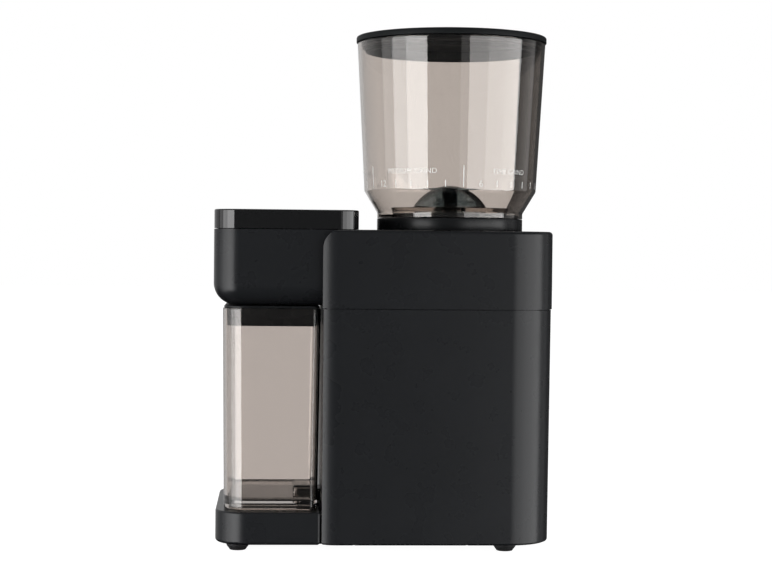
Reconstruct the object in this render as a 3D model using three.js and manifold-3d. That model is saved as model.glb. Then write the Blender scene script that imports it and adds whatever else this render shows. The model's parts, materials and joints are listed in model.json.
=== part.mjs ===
// Burr coffee grinder: a conical burr mill with a rotating bean hopper, a dispensing head over a
// removable grounds container, and a geared vertical motor. Millimetres, +Z up, front facing -Y,
// origin at the middle of the footprint on the surface that the feet stand on.

import * as THREE from "three";
import { mergeVertices } from "three/addons/utils/BufferGeometryUtils.js";
import Module from "manifold-3d";

const wasm = await Module();
wasm.setup();

// ---------------------------------------------------------------- driving dimensions

const WIDTH = 160;
const DEPTH = 255;
const HEIGHT = 390;
const GAP = 0.3; // between pieces that touch
const WALL = 2.6; // moulded shells
const BOWL_SIDES = 40; // sides of the hopper and its lid
const ROUND = 28; // sides of a large turned piece
const SMALL = 12; // sides of a small one
const CORNER = 4; // steps round a 90 degree corner

const FOOT_H = 6;
const FRONT = -DEPTH / 2;
const REAR = DEPTH / 2;

// Main housing: a rounded box behind the container bay, split by a seam.
const HOUSING_X = WIDTH / 2;
const HOUSING_FRONT = -46.5;
const HOUSING_TOP = 239.5;
const SEAM_Z = 181;
const CORNER_R = 34; // vertical corners, full at the rear
const FRONT_TURN = 13.5; // length of corner left at the front, where the bay's wall cuts it off
const TOP_FILLET = 2.5;
const BROW = { rise: 13.5, depth: 13.5 }; // the larger rounding of the top edge over the bay
const LOWER_INSET = 0.7; // the lower shell is a little smaller than the upper one
const LOWER_TAPER = 1; // and leans in by this much at its foot

// Base under the container.
const BASE_X = 72.5;
const BASE_FRONT = -125;
const BASE_TOP = 30.2;
const BASE_R = 24.5;
const FLOOR_TOP = 10; // top of the floor plate under the housing

// Dispensing head and its glossy panel.
const HEAD_X = 72.5;
const HEAD_REAR = -20;
const HEAD_BOTTOM = 183;
const HEAD_TOP = 239.3;
const HEAD_R = 20;
const HEAD_FILLET = 16;
const PANEL_X = 72.4;
const PANEL_FRONT = FRONT + 0.1;
const PANEL_REAR = -19.7;
const PANEL_Z = 239.8;
const PANEL_TOP = 254;
const OUTLET_Y = -84;

// Container in the bay: its walls lean out towards the mouth.
const BIN_FOOT = { x: 66.5, front: -118.9, rear: -49, z: BASE_TOP + GAP };
const BIN_MOUTH = { x: 68, front: -120.6, rear: -47.5, z: 180.5 };
const BIN_R = 18;
const BIN_REAR_R = 6;
const BIN_WALL = 2.4;
const BIN_FLOOR = 37;
const LID_TOP = 182.5;
const LID_SKIRT = 167.4;
const LOCATOR = { x: 14, front: -63.8, top: 40 };

// Burr axis, hopper and grinding parts.
const AXIS_Y = 53.5;
const COLLAR_R = 56.5;
const RING_Z = 240.2;
const RING_TOP = 249.3;
const COLLAR_Z = RING_TOP + GAP;
const NECK_TOP = 253.6; // the bowl's straight neck, round the collar
const NECK_WALL = 2.4;
const SHOULDER = { r: 66.6, z: 270.5 };
const BOWL_TOP = { r: 72.9, z: 385 };
const BOWL_WALL = 2.4;
const LID_R = 73.8;
const LID_RIM = 4.6;
const SKIRT_R = 66.8;
const SKIRT_Z = 377.8;
const GUARD_R = 28;
const GUARD_Z = 258.2;
const GUARD_TOP = 275.2;
const HOPPER_FLOOR = 252; // top of the collar
const HUB_R = 12.6; // foot of the bean guard
const HUB_TOP = 257.5;
const WINDOW = { inner: 14, outer: 32, half: 42 }; // bean windows: radii and half angle

const CHAMBER_R = 44;
const CHAMBER_Z = 196;
const CHAMBER_TOP = 232;
const CONE = { base: 20.5, slope: 0.55, z: 209, top: 228 };
const BURR_CLEARANCE = 1.4; // radial, at the coarse setting modelled
const RING_BURR = { r: 27, z: 214.3, top: 235.7, waist: 220, mouth: 21 };

// Two-stage spur drive.
const FINE_MODULE = 1.2;
const COARSE_MODULE = 1.5;
const PINION_TEETH = 10;
const WHEEL_TEETH = 40;
const IDLER_AT = [-22.5, AXIS_Y - 30];
const MOTOR_AT = [IDLER_AT[0] + 24, IDLER_AT[1] - 18];
const SHAFT_R = 4;
const GEARBOX = { x0: -51, x1: 35, y0: -10, y1: 88, r: 18, floor: 146, top: 176 };
const MOTOR_R = 30;
const MOTOR_Z = 78;
const BRACKET_Z = 140;

// ---------------------------------------------------------------- shape helpers

// The closed solid of a geometry, whichever way its faces were listed.
function solid(geometry) {
  const loose = geometry.index ? geometry.toNonIndexed() : geometry;
  const bare = new THREE.BufferGeometry();
  bare.setAttribute("position", loose.getAttribute("position"));
  const merged = mergeVertices(bare, 1e-3);
  const index = merged.index.array;
  const kept = [];
  for (let i = 0; i < index.length; i += 3) {
    const [a, b, c] = index.subarray(i, i + 3);
    if (a !== b && b !== c && c !== a) kept.push(a, b, c);
  }
  const build = (triangles) =>
    new wasm.Manifold(
      new wasm.Mesh({
        numProp: 3,
        vertProperties: merged.attributes.position.array,
        triVerts: new Uint32Array(triangles),
      }),
    );
  const made = build(kept);
  return made.volume() > 0 ? made : build(kept.reverse());
}

const join = (...parts) => parts.reduce((sum, part) => sum.add(part));
const cut = (body, ...tools) => tools.reduce((rest, tool) => rest.subtract(tool), body);

function block(x0, x1, y0, y1, z0, z1) {
  const box = new THREE.BoxGeometry(x1 - x0, y1 - y0, z1 - z0);
  return solid(box.translate((x0 + x1) / 2, (y0 + y1) / 2, (z0 + z1) / 2));
}

function rod(radius, z0, z1, x = 0, y = 0, sides = SMALL) {
  const cylinder = new THREE.CylinderGeometry(radius, radius, z1 - z0, sides);
  return solid(cylinder.rotateX(Math.PI / 2).translate(x, y, (z0 + z1) / 2));
}

// A turned solid about Z from a closed loop or an axis-to-axis line of [radius, z].
function turned(profile, sides = ROUND) {
  const points = profile.map(([r, z]) => new THREE.Vector2(r, z));
  return solid(new THREE.LatheGeometry(points, sides).rotateX(Math.PI / 2));
}

function ring(outer, inner, z0, z1, sides = ROUND) {
  return turned([[inner, z0], [outer, z0], [outer, z1], [inner, z1], [inner, z0]], sides);
}

function prism(points, z0, z1) {
  const shape = new THREE.Shape(points.map(([x, y]) => new THREE.Vector2(x, y)));
  const body = new THREE.ExtrudeGeometry(shape, { depth: z1 - z0, bevelEnabled: false });
  return solid(body.translate(0, 0, z0));
}

// A closed skin over a stack of outlines with the same number of points each.
function loft(outlines) {
  const count = outlines[0].length;
  const points = outlines.flat();
  const faces = [];
  for (let level = 0; level < outlines.length - 1; level++) {
    for (let i = 0; i < count; i++) {
      const a = level * count + i;
      const b = level * count + ((i + 1) % count);
      faces.push(a, b, b + count, a, b + count, a + count);
    }
  }
  for (const [level, flip] of [[0, true], [outlines.length - 1, false]]) {
    const hub = points.length;
    const rim = outlines[level];
    points.push([0, 1, 2].map((k) => rim.reduce((sum, p) => sum + p[k], 0) / count));
    for (let i = 0; i < count; i++) {
      const a = level * count + i;
      const b = level * count + ((i + 1) % count);
      faces.push(...(flip ? [b, a, hub] : [a, b, hub]));
    }
  }
  const geometry = new THREE.BufferGeometry();
  geometry.setAttribute("position", new THREE.Float32BufferAttribute(points.flat(), 3));
  geometry.setIndex(faces);
  return solid(geometry);
}

// One quarter of an outline, as [x, y] from the side's tangent round to an end wall at y = end.
// The corner is a full quarter, or less where the wall cuts it off before that.
function quarter({ x, centre, r, end }, side, pull) {
  const least = 0.1;
  const across = Math.max(r - side, least);
  const along = Math.max(r - pull, least);
  const cx = Math.min(x - r, x - side - least);
  const cy = Math.min(centre, end - pull - least);
  const whole = Math.asin(Math.min(1, (end - pull - cy) / along));
  return Array.from({ length: CORNER + 1 }, (_, i) => {
    const a = (whole * i) / CORNER;
    return [cx + across * Math.cos(a), cy + along * Math.sin(a)];
  });
}

// A rounded rectangle in plan, symmetric about X = 0. Each face can be pulled in by its own inset;
// the corners keep their centres, so a growing inset draws a fillet.
function outline({ x, front, rear, rFront, rRear, turn = rFront }, z, inset = 0) {
  const { side, fore, aft } =
    typeof inset === "number" ? { side: inset, fore: inset, aft: inset } : inset;
  const back = quarter({ x, centre: rear - rRear, r: rRear, end: rear }, side, aft);
  const face = quarter({ x, centre: -turn, r: rFront, end: 0 }, side, fore);
  const right = [...face.map(([px, py]) => [px, front - py]).reverse(), ...back];
  const left = right.map(([px, py]) => [-px, py]).reverse();
  return [...right, ...left].map(([px, py]) => [px, py, z]);
}

// How far a quarter-round edge of radius r has pulled in, at a distance from where it starts.
const fillet = (r, into) => (into <= 0 ? 0 : r - Math.sqrt(Math.max(r * r - into * into, 0)));

// A slab with straight walls, the same outline at both heights.
const slab = (plan, z0, z1, inset = 0) => loft([outline(plan, z0, inset), outline(plan, z1, inset)]);

// The outline of an involute spur gear with a tooth centred on angle zero.
function gearOutline(teeth, module, { addendum = 0.9, backlash = 0.16, undercut = 0.6 } = {}) {
  const pressure = (20 * Math.PI) / 180;
  const pitchR = (teeth * module) / 2;
  const baseR = pitchR * Math.cos(pressure);
  const rootR = pitchR - 1.25 * module;
  const tipR = pitchR + addendum * module;
  const involute = (angle) => Math.tan(angle) - angle;
  const atPitch = Math.PI / (2 * teeth) - backlash / pitchR / 2;
  const halfAngle = (r) =>
    atPitch + involute(pressure) - involute(Math.acos(Math.min(1, baseR / r)));
  const low = Math.max(baseR, rootR);
  const half = [low, tipR].map((r) => [r, halfAngle(r)]);
  if (low > rootR + 0.3) half.unshift([rootR, halfAngle(low) * undercut]);
  const points = [];
  for (let tooth = 0; tooth < teeth; tooth++) {
    const centre = (2 * Math.PI * tooth) / teeth;
    for (const [r, a] of half) points.push([r, centre - a]);
    for (const [r, a] of [...half].reverse()) points.push([r, centre + a]);
  }
  return points.map(([r, a]) => [r * Math.cos(a), r * Math.sin(a)]);
}

// The turn that puts a second gear in mesh with a first one standing at the given turn.
function meshTurn(from, to, firstTurn, firstTeeth, secondTeeth) {
  const line = Math.atan2(to[1] - from[1], to[0] - from[0]);
  const gap = line + Math.PI - Math.PI / secondTeeth;
  return gap - ((firstTurn - line) * firstTeeth) / secondTeeth;
}

// ---------------------------------------------------------------- materials

const material = (color, roughness, metalness = 0, opacity = 1) =>
  new THREE.MeshStandardMaterial({
    color,
    roughness,
    metalness,
    opacity,
    transparent: opacity < 1,
  });

const SATIN_BLACK = material(0x242526, 0.5);
const GLOSS_BLACK = material(0x101113, 0.12);
const SMOKED = material(0x8c8078, 0.08, 0, 0.35);
const INNER_BLACK = material(0x1b1b1c, 0.6);
const RUBBER = material(0x17181a, 0.85);
const SILICONE = material(0x2c2c2e, 0.7);
const STEEL = material(0xb4b6b8, 0.3, 1);
const ZINC = material(0x8e9194, 0.45, 1);
const ACETAL = material(0xe4e1d8, 0.45);
const BOARD = material(0x1f5a38, 0.6);
const MAGNET = material(0x35363a, 0.55);

// ---------------------------------------------------------------- assembly

const grinder = new THREE.Group();
const mill = new THREE.Group(); // everything on the burr axis
mill.position.set(0, AXIS_Y, 0);
grinder.add(mill);

function add(name, finish, body, { group = grinder, at = [0, 0, 0], turn = 0 } = {}) {
  const data = body.getMesh();
  const positions = new Float32Array(data.numVert * 3);
  for (let i = 0; i < data.numVert; i++) {
    const start = i * data.numProp;
    positions.set(data.vertProperties.subarray(start, start + 3), i * 3);
  }
  const geometry = new THREE.BufferGeometry();
  geometry.setAttribute("position", new THREE.BufferAttribute(positions, 3));
  geometry.setIndex(new THREE.BufferAttribute(new Uint32Array(data.triVerts), 1));
  geometry.computeVertexNormals();
  const mesh = new THREE.Mesh(geometry, finish);
  mesh.name = name;
  mesh.position.set(...at);
  mesh.rotation.z = turn;
  group.add(mesh);
}

// ---------------------------------------------------------------- base

const BASE_REAR = HOUSING_FRONT - 0.4;
const basePlan = { x: BASE_X, front: BASE_FRONT, rear: BASE_REAR, rFront: BASE_R, rRear: 2 };
const platformPlan = { x: 66, front: -118, rear: -50, rFront: 16, rRear: 4 };
const housingPlan = {
  x: HOUSING_X, front: HOUSING_FRONT, rear: REAR, rFront: CORNER_R, rRear: CORNER_R, turn: FRONT_TURN,
};
const SKIN = 3;
const PLATFORM_T = 2.9;
const CAVITY_TOP = 24;
const NECK_X = 69;
const SCREW_AT = [[72, -22], [-72, -22], [72, 62], [-72, 62]];
const FEET_AT = {
  front_left: [56, -108],
  front_right: [-56, -108],
  rear_left: [60, 92],
  rear_right: [-60, 92],
};

function baseTray() {
  const edge = 1.5;
  const shell = loft([
    outline(basePlan, FOOT_H, edge * 0.7),
    outline(basePlan, FOOT_H + edge),
    outline(basePlan, BASE_TOP - edge),
    outline(basePlan, BASE_TOP - edge * 0.4, edge * 0.2),
    outline(basePlan, BASE_TOP, edge * 0.7),
  ]);
  const floor = slab(housingPlan, FOOT_H, FLOOR_TOP, WALL + LOWER_INSET + 0.4);
  const neck = block(-NECK_X, NECK_X, HOUSING_FRONT - 2, -34, FOOT_H, 27);
  const cavity = slab(basePlan, 0, CAVITY_TOP, SKIN);
  const duct = block(-30, 30, HOUSING_FRONT - 6, -40, FLOOR_TOP, CAVITY_TOP);
  const recess = slab(platformPlan, BASE_TOP - PLATFORM_T - GAP, 40, -0.5);
  const vents = [0, 1, 2, 3, 4].map((i) => block(-26, 26, -22 + i * 10, -17 + i * 10, 0, 20));
  const screwHoles = SCREW_AT.flatMap(([x, y]) => [rod(4.2, 0, 8.6, x, y), rod(2.1, 0, 20, x, y)]);
  const stems = Object.values(FEET_AT).slice(2).map(([x, y]) => rod(3.3, 0, 8.5, x, y));
  const link = rod(9, 0, 40, 0, -96, 16);
  const filled = join(shell, neck, floor);
  return cut(filled, cavity, duct, recess, link, ...vents, ...screwHoles, ...stems);
}
add("base_tray", SATIN_BLACK, baseTray());

function bottomCover() {
  const plate = slab(basePlan, FOOT_H, FOOT_H + 2.4, SKIN + 0.4);
  const stems = Object.values(FEET_AT).slice(0, 2).map(([x, y]) => rod(3.3, 0, 20, x, y));
  return cut(plate, block(-BASE_X, BASE_X, HOUSING_FRONT - 3.8, 0, 0, 20), ...stems);
}
add("bottom_cover", INNER_BLACK, bottomCover());

// The plate that the container stands on, carried by the weighing cell through one boss.
const platform = join(
  slab(platformPlan, BASE_TOP - PLATFORM_T, BASE_TOP),
  rod(7, 21.4, BASE_TOP - PLATFORM_T + 0.5, 0, -96),
);
add("scale_platform", RUBBER, platform);

const CELL_Z = 12;
const loadCell = cut(
  join(block(-6, 6, -106, -54, CELL_Z, 21), block(-6, 6, -66, -54, FOOT_H + 2.7, CELL_Z + 1)),
  rod(3.2, 0, 30, -2.2, -82).add(rod(3.2, 0, 30, 2.2, -78)),
);
add("load_cell", ZINC, loadCell);

const footProfile = [
  [0, 0], [5.8, 0], [8.4, 3.4], [9.2, FOOT_H - GAP], [3, FOOT_H - GAP], [3, 8.2], [0, 8.2],
];
for (const [place, [x, y]] of Object.entries(FEET_AT)) {
  add(`foot_${place}`, RUBBER, turned(footProfile, 16), { at: [x, y, 0] });
}

const screwProfile = [[0, 6.2], [3.8, 6.2], [3.8, 8.3], [1.7, 8.3], [1.7, 28], [0, 29.5]];
SCREW_AT.forEach(([x, y], i) => {
  add(`base_screw_${i + 1}`, ZINC, turned(screwProfile, 8), { at: [x, y, 0] });
});

// ---------------------------------------------------------------- housing shells

const LIP = 1.8;
const BRACKET_LEDGES = [[1, -30], [-1, -30], [1, 78], [-1, 78]];
const CORD_AT = [-30, 34];

function lowerHousing() {
  const start = FOOT_H + GAP;
  const end = SEAM_Z - GAP;
  const wall = LOWER_INSET + WALL;
  const foot = LOWER_INSET + LOWER_TAPER;
  const skin = loft([
    outline(housingPlan, start, { side: foot, fore: LOWER_INSET, aft: foot }),
    outline(housingPlan, end, LOWER_INSET),
  ]);
  const tube = cut(skin, slab(housingPlan, 0, SEAM_Z + 10, wall));
  const lip = cut(
    slab(housingPlan, end - 6, end + LIP, wall + GAP),
    slab(housingPlan, 0, SEAM_Z + 10, wall + 2),
  );
  const seat = cut(slab(housingPlan, end - 6, end - 3, wall - 1), slab(housingPlan, 0, 200, wall + 2));
  const bosses = SCREW_AT.map(([x, y]) => rod(5.6, FLOOR_TOP + GAP, 42, x, y));
  const bores = SCREW_AT.map(([x, y]) => rod(2, 0, 31, x, y, 8));
  const ledges = BRACKET_LEDGES.map(([side, y]) => {
    const [x0, x1] = side > 0 ? [66, 78] : [-78, -66];
    return block(x0, x1, y - 6, y + 6, 130, BRACKET_Z - GAP);
  });
  const nose = block(-LOCATOR.x, LOCATOR.x, LOCATOR.front, HOUSING_FRONT + 1, 31, LOCATOR.top);
  const notch = block(-NECK_X - GAP, NECK_X + GAP, HOUSING_FRONT - 1, HOUSING_FRONT + 6, 0, 27 + GAP);
  const cordHole = turnedAlongY([[0, -8], [5.3, -8], [5.3, 8], [0, 8]], CORD_AT, 12);
  return cut(join(tube, lip, seat, nose, ...bosses, ...ledges), notch, cordHole, ...bores);
}

// A turned piece whose axis runs along Y through the rear wall, at [x, z].
function turnedAlongY(profile, [x, z], sides = SMALL) {
  const points = profile.map(([r, along]) => new THREE.Vector2(r, along));
  return solid(new THREE.LatheGeometry(points, sides).translate(x, REAR - LOWER_INSET, z));
}
add("lower_housing", SATIN_BLACK, lowerHousing());

const gland = [
  [3.6, -6], [6.4, -6], [6.4, -WALL - 0.4], [5, -WALL - 0.4], [5, 0.1], [6.2, 0.1], [6.2, 0.4],
  [3.6, 0.4], [3.6, -6],
];
add("cord_inlet", RUBBER, turnedAlongY(gland, CORD_AT));

const headPlan = { x: HEAD_X, front: FRONT, rear: HEAD_REAR, rFront: HEAD_R, rRear: 15 };

// The head's skin, rounded under the front and the sides, and grown for the opening it sits in.
function headSkin(grow = 0, top = HEAD_TOP) {
  const steps = [0, 1.2, 4.2, 9, HEAD_FILLET];
  const rings = steps.map((rise) => {
    const pull = fillet(HEAD_FILLET, HEAD_FILLET - rise) - grow;
    return outline(headPlan, HEAD_BOTTOM - grow + rise, { side: pull, fore: pull, aft: -grow });
  });
  return loft([...rings, outline(headPlan, top, -grow)]);
}

// The housing's outline at a height, with the front wall leaning back under the brow.
function browOutline(z, inset) {
  const into = z - (HOUSING_TOP - BROW.rise);
  const brow = (fillet(BROW.rise, into) * BROW.depth) / BROW.rise;
  const plan = { ...housingPlan, front: HOUSING_FRONT + brow, turn: FRONT_TURN - brow };
  return outline(plan, z, inset);
}

function upperHousing() {
  const steps = [SEAM_Z + GAP, 226, 231, 234.5, 237, 238.6, HOUSING_TOP];
  const outer = loft(
    steps.map((z) => {
      const rim = fillet(TOP_FILLET, z - (HOUSING_TOP - TOP_FILLET));
      return browOutline(z, { side: rim, fore: 0, aft: rim });
    }),
  );
  const ceiling = 2.5; // lifts the brow of the inside, so that the wall keeps its thickness
  const inner = loft(
    [0, 223, 229, 233, HOUSING_TOP - ceiling].map((z) => {
      const above = browOutline(z + ceiling, WALL);
      return above.map(([x, y]) => [x, y, z]);
    }),
  );
  const collarHole = rod(53.3, 200, 260, 0, AXIS_Y, ROUND);
  return cut(outer, inner, headSkin(0.35, 260), collarHole);
}
add("upper_housing", SATIN_BLACK, upperHousing());

// ---------------------------------------------------------------- dispensing head

function headShell() {
  const inner = slab({ ...headPlan, rear: 10 }, HEAD_BOTTOM + HEAD_FILLET, 260, 2.5);
  const belly = slab({ ...headPlan, rear: 10 }, HEAD_BOTTOM + 2.5, HEAD_BOTTOM + HEAD_FILLET + 1, 12);
  return cut(headSkin(), inner, belly, rod(17.6, 0, 200, 0, OUTLET_Y, 16));
}
add("head_shell", SATIN_BLACK, headShell());

const panelPlan = { x: PANEL_X, front: PANEL_FRONT, rear: PANEL_REAR, rFront: HEAD_R, rRear: 15 };
const DISPLAY = { x: 30, front: -112, rear: -86 };
const BUTTON_R = 8;
const BUTTON_Y = -54;
const BUTTONS = { minus: -42, plus: -14, mode: 14, start: 42 };
const PANEL_SKIN = 2.6;

function controlPanel() {
  const shell = loft([
    outline(panelPlan, PANEL_Z),
    outline(panelPlan, PANEL_TOP - 1),
    outline(panelPlan, PANEL_TOP - 0.3, 0.3),
    outline(panelPlan, PANEL_TOP, 1),
  ]);
  const inner = slab(panelPlan, 0, PANEL_TOP - PANEL_SKIN, 2.5);
  const recess = block(-DISPLAY.x, DISPLAY.x, DISPLAY.front, DISPLAY.rear, PANEL_TOP - 1.5, 260);
  const glass = block(4 - DISPLAY.x, DISPLAY.x - 4, DISPLAY.front + 3, DISPLAY.rear - 3, 240, 260);
  const holes = Object.values(BUTTONS).map((x) => rod(BUTTON_R + 0.4, 240, 260, x, BUTTON_Y, 16));
  return cut(shell, inner, recess, glass, ...holes);
}
add("control_panel", GLOSS_BLACK, controlPanel());

const windowPane = block(
  GAP - DISPLAY.x, DISPLAY.x - GAP, DISPLAY.front + GAP, DISPLAY.rear - GAP, PANEL_TOP - 1.2, PANEL_TOP,
);
add("display_window", GLOSS_BLACK, windowPane);

// Control board with the display module and one switch under each button.
const BOARD_Z = 232;
function controlBoard() {
  const board = block(-58, 58, -114, -42, BOARD_Z, BOARD_Z + 1.6);
  const displayModule = block(-25, 25, -108, -90, BOARD_Z + 1, PANEL_TOP - PANEL_SKIN - 1);
  const switches = Object.values(BUTTONS).map((x) =>
    block(x - 3, x + 3, BUTTON_Y - 3, BUTTON_Y + 3, BOARD_Z + 1, 237),
  );
  return join(board, displayModule, ...switches);
}
add("control_board", BOARD, controlBoard());

const buttonProfile = [
  [0, 238.3], [2.4, 238.3], [2.4, 250.8], [BUTTON_R, 250.8], [BUTTON_R, PANEL_TOP], [0, PANEL_TOP],
];
for (const [name, x] of Object.entries(BUTTONS)) {
  add(`button_${name}`, GLOSS_BLACK, turned(buttonProfile, 16), { at: [x, BUTTON_Y, 0] });
}

// ---------------------------------------------------------------- grounds path

// A side profile of [y, z] points, as wide as 2 * x.
function sideProfile(points, x) {
  const shape = new THREE.Shape(points.map(([y, z]) => new THREE.Vector2(y, z)));
  const body = new THREE.ExtrudeGeometry(shape, { depth: 2 * x, bevelEnabled: false });
  // The drawing's axes become Y and Z, and the extrusion runs along X.
  body.applyMatrix4(new THREE.Matrix4().set(0, 0, 1, -x, 1, 0, 0, 0, 0, 1, 0, 0, 0, 0, 0, 1));
  return solid(body);
}

const SPOUT_R = 16.6;
function groundsChute() {
  const near = AXIS_Y - CHAMBER_R - 3.4;
  const duct = sideProfile([[near, 198.4], [near, 218.4], [OUTLET_Y, 214], [OUTLET_Y, 190]], 15);
  const bore = sideProfile(
    [[near + 5, 200.8], [near + 5, 216], [OUTLET_Y, 211.5], [OUTLET_Y, 192.5]],
    12.6,
  );
  const spout = rod(SPOUT_R, 183.8, 216, 0, OUTLET_Y, 16);
  const drop = rod(SPOUT_R - 2, 180, 213.6, 0, OUTLET_Y, 16);
  const clearChamber = rod(CHAMBER_R + 3 + GAP, 190, 230, 0, AXIS_Y, ROUND);
  return cut(join(duct, spout), bore, drop, clearChamber);
}
add("grounds_chute", INNER_BLACK, groundsChute());

const flap = cut(
  ring(SPOUT_R - 2 - GAP, 7.5, 184.6, 185.8, 16),
  block(-0.6, 0.6, 0, 12.5, 180, 190),
  block(-0.6, 0.6, -12.5, 0, 180, 190),
);
add("static_flap", SILICONE, flap, { at: [0, OUTLET_Y, 0] });

// ---------------------------------------------------------------- container

function binOutline(z, inset = 0) {
  const share = (z - BIN_FOOT.z) / (BIN_MOUTH.z - BIN_FOOT.z);
  const between = (key) => BIN_FOOT[key] + (BIN_MOUTH[key] - BIN_FOOT[key]) * share;
  const sides = { x: between("x"), front: between("front"), rear: between("rear") };
  return outline({ ...sides, rFront: BIN_R, rRear: BIN_REAR_R }, z, inset);
}

const POCKET = { x: LOCATOR.x + 1, front: LOCATOR.front - 1.2, top: LOCATOR.top + 1 };
function groundsContainer() {
  const outer = loft([
    binOutline(BIN_FOOT.z, 1),
    binOutline(BIN_FOOT.z + 1.5),
    binOutline(BIN_MOUTH.z),
  ]);
  const inner = loft([
    binOutline(BIN_FLOOR, BIN_WALL + 3),
    binOutline(BIN_FLOOR + 4, BIN_WALL),
    binOutline(BIN_MOUTH.z + 5, BIN_WALL),
  ]);
  const under = loft([binOutline(0, 3.4), binOutline(BIN_FLOOR - 2.6, 3.4)]);
  const pocketWall = block(
    -POCKET.x - 2, POCKET.x + 2, POCKET.front - 2, BIN_FOOT.rear - 1, BIN_FLOOR - 2, POCKET.top + 2,
  );
  const pocket = block(-POCKET.x, POCKET.x, POCKET.front, HOUSING_FRONT + 5, 20, POCKET.top);
  return cut(join(cut(outer, inner), pocketWall), under, pocket);
}
add("grounds_container", SMOKED, groundsContainer());

function containerLid() {
  const plan = { ...BIN_MOUTH, rFront: BIN_R, rRear: BIN_REAR_R };
  const rest = BIN_MOUTH.z + GAP;
  const skirt = BIN_WALL + 0.7;
  const solidLid = loft([
    outline(plan, LID_SKIRT, skirt + 0.4),
    outline(plan, rest, skirt),
    outline(plan, rest, 0.8),
    outline(plan, rest + 0.9, 0.8),
    outline(plan, LID_TOP, 3),
  ]);
  const hollow = slab(plan, 0, rest - 0.6, skirt + 2.2);
  return cut(solidLid, hollow, rod(17.5, 0, 200, 0, OUTLET_Y, 16));
}
add("container_lid", SATIN_BLACK, containerLid());

// ---------------------------------------------------------------- hopper

const NECK_INNER = COLLAR_R - NECK_WALL;
const bowlProfile = [
  [COLLAR_R, COLLAR_Z], [COLLAR_R, NECK_TOP], [SHOULDER.r, SHOULDER.z], [BOWL_TOP.r, BOWL_TOP.z],
  [BOWL_TOP.r - BOWL_WALL, BOWL_TOP.z], [SHOULDER.r - BOWL_WALL, SHOULDER.z + 0.6],
  [NECK_INNER, NECK_TOP + 0.8], [NECK_INNER, COLLAR_Z], [COLLAR_R, COLLAR_Z],
];
add("hopper_bowl", SMOKED, turned(bowlProfile, BOWL_SIDES), { group: mill });

// The space of the two bean windows, front and rear of the hub.
function windows(z0, z1) {
  const { inner, outer, half } = WINDOW;
  return [-90, 90].map((middle) => {
    const angles = [-1, -0.5, 0, 0.5, 1].map((t) => ((middle + t * half) * Math.PI) / 180);
    const rim = angles.map((a) => [outer * Math.cos(a), outer * Math.sin(a)]);
    const hub = angles.map((a) => [inner * Math.cos(a), inner * Math.sin(a)]);
    return prism([...rim, ...hub.reverse()], z0, z1);
  });
}

// The hopper's floor, with a rim below it that centres the hopper in the adjusting ring.
const hopperCollar = cut(
  join(
    rod(NECK_INNER - GAP, COLLAR_Z, HOPPER_FLOOR, 0, 0, ROUND),
    ring(45.9, 43, COLLAR_Z - 1.8, COLLAR_Z + 1),
  ),
  ...windows(240, 260),
);
add("hopper_collar", SATIN_BLACK, hopperCollar, { group: mill });

// A dish that turns on the collar to open and close the windows.
const SHUTTER_Z = HOPPER_FLOOR + GAP;
const SHUTTER = { r: 46, bore: HUB_R + 0.6, top: 258, wall: 1.4, t: 1.2 };
const shutter = cut(
  turned([
    [SHUTTER.bore, SHUTTER_Z], [SHUTTER.r - 2, SHUTTER_Z], [SHUTTER.r, SHUTTER.top],
    [SHUTTER.r - SHUTTER.wall, SHUTTER.top], [SHUTTER.r - 2 - SHUTTER.wall, SHUTTER_Z + SHUTTER.t],
    [SHUTTER.bore, SHUTTER_Z + SHUTTER.t], [SHUTTER.bore, SHUTTER_Z],
  ]),
  ...windows(240, 260),
);
add("hopper_shutter", SMOKED, shutter, { group: mill });

// A dome over the windows, on a hub and three webs, that keeps fingers out of the burrs.
function beanGuard() {
  const rise = GUARD_TOP - GUARD_Z;
  const sphere = (GUARD_R * GUARD_R + rise * rise) / (2 * rise);
  const cap = (lift) =>
    [0, 10, 18, 24, GUARD_R].map((r) => [r, lift + Math.sqrt(sphere * sphere - r * r)]);
  const base = GUARD_TOP - sphere;
  const top = cap(base);
  const under = cap(base - 2).reverse();
  const dome = turned([...top, [GUARD_R, GUARD_Z - 1], ...under.slice(1)], 24);
  const hub = join(
    rod(HUB_R, HOPPER_FLOOR + GAP, HUB_TOP, 0, 0, 16),
    rod(6, HUB_TOP - 1, GUARD_TOP - 3),
  );
  const webs = [90, 210, 330].map((degrees) => {
    const web = new THREE.BoxGeometry(20, 1.8, 7.5).translate(12, 0, 261.5);
    return solid(web.rotateZ((degrees * Math.PI) / 180));
  });
  return join(dome, hub, ...webs);
}
add("bean_guard", SMOKED, beanGuard(), { group: mill });

const lidProfile = [
  [0, 386], [63.5, 386], [63.5, SKIRT_Z], [SKIRT_R, SKIRT_Z], [SKIRT_R, HEIGHT - LID_RIM],
  [LID_R, HEIGHT - LID_RIM], [LID_R, HEIGHT], [65.5, HEIGHT], [63, 388.4], [0, 388.4],
];
add("hopper_lid", SATIN_BLACK, turned(lidProfile, BOWL_SIDES), { group: mill });
add("lid_seal", SILICONE, ring(69.8, SKIRT_R + GAP, 380.5, 382.5, BOWL_SIDES), { group: mill });

// ---------------------------------------------------------------- grind adjustment

const DETENTS = 38; // two for each number of the scale
function adjustingRing() {
  const notched = Array.from({ length: DETENTS * 2 }, (_, i) => {
    const a = (Math.PI * i) / DETENTS;
    const r = i % 2 ? 52.4 : 51.6;
    return [r * Math.cos(a), r * Math.sin(a)];
  });
  const skirt = turned([
    [0, 233.9], [51, 233.9], [51, RING_Z], [COLLAR_R, RING_Z], [COLLAR_R, RING_TOP], [0, RING_TOP],
  ]);
  const bore = rod(48.4, 200, 239, 0, 0, ROUND).add(rod(46.4, 230, 260, 0, 0, ROUND));
  return cut(join(skirt, prism(notched, 228, 234)), bore);
}
add("adjusting_ring", SATIN_BLACK, adjustingRing(), { group: mill });

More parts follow.
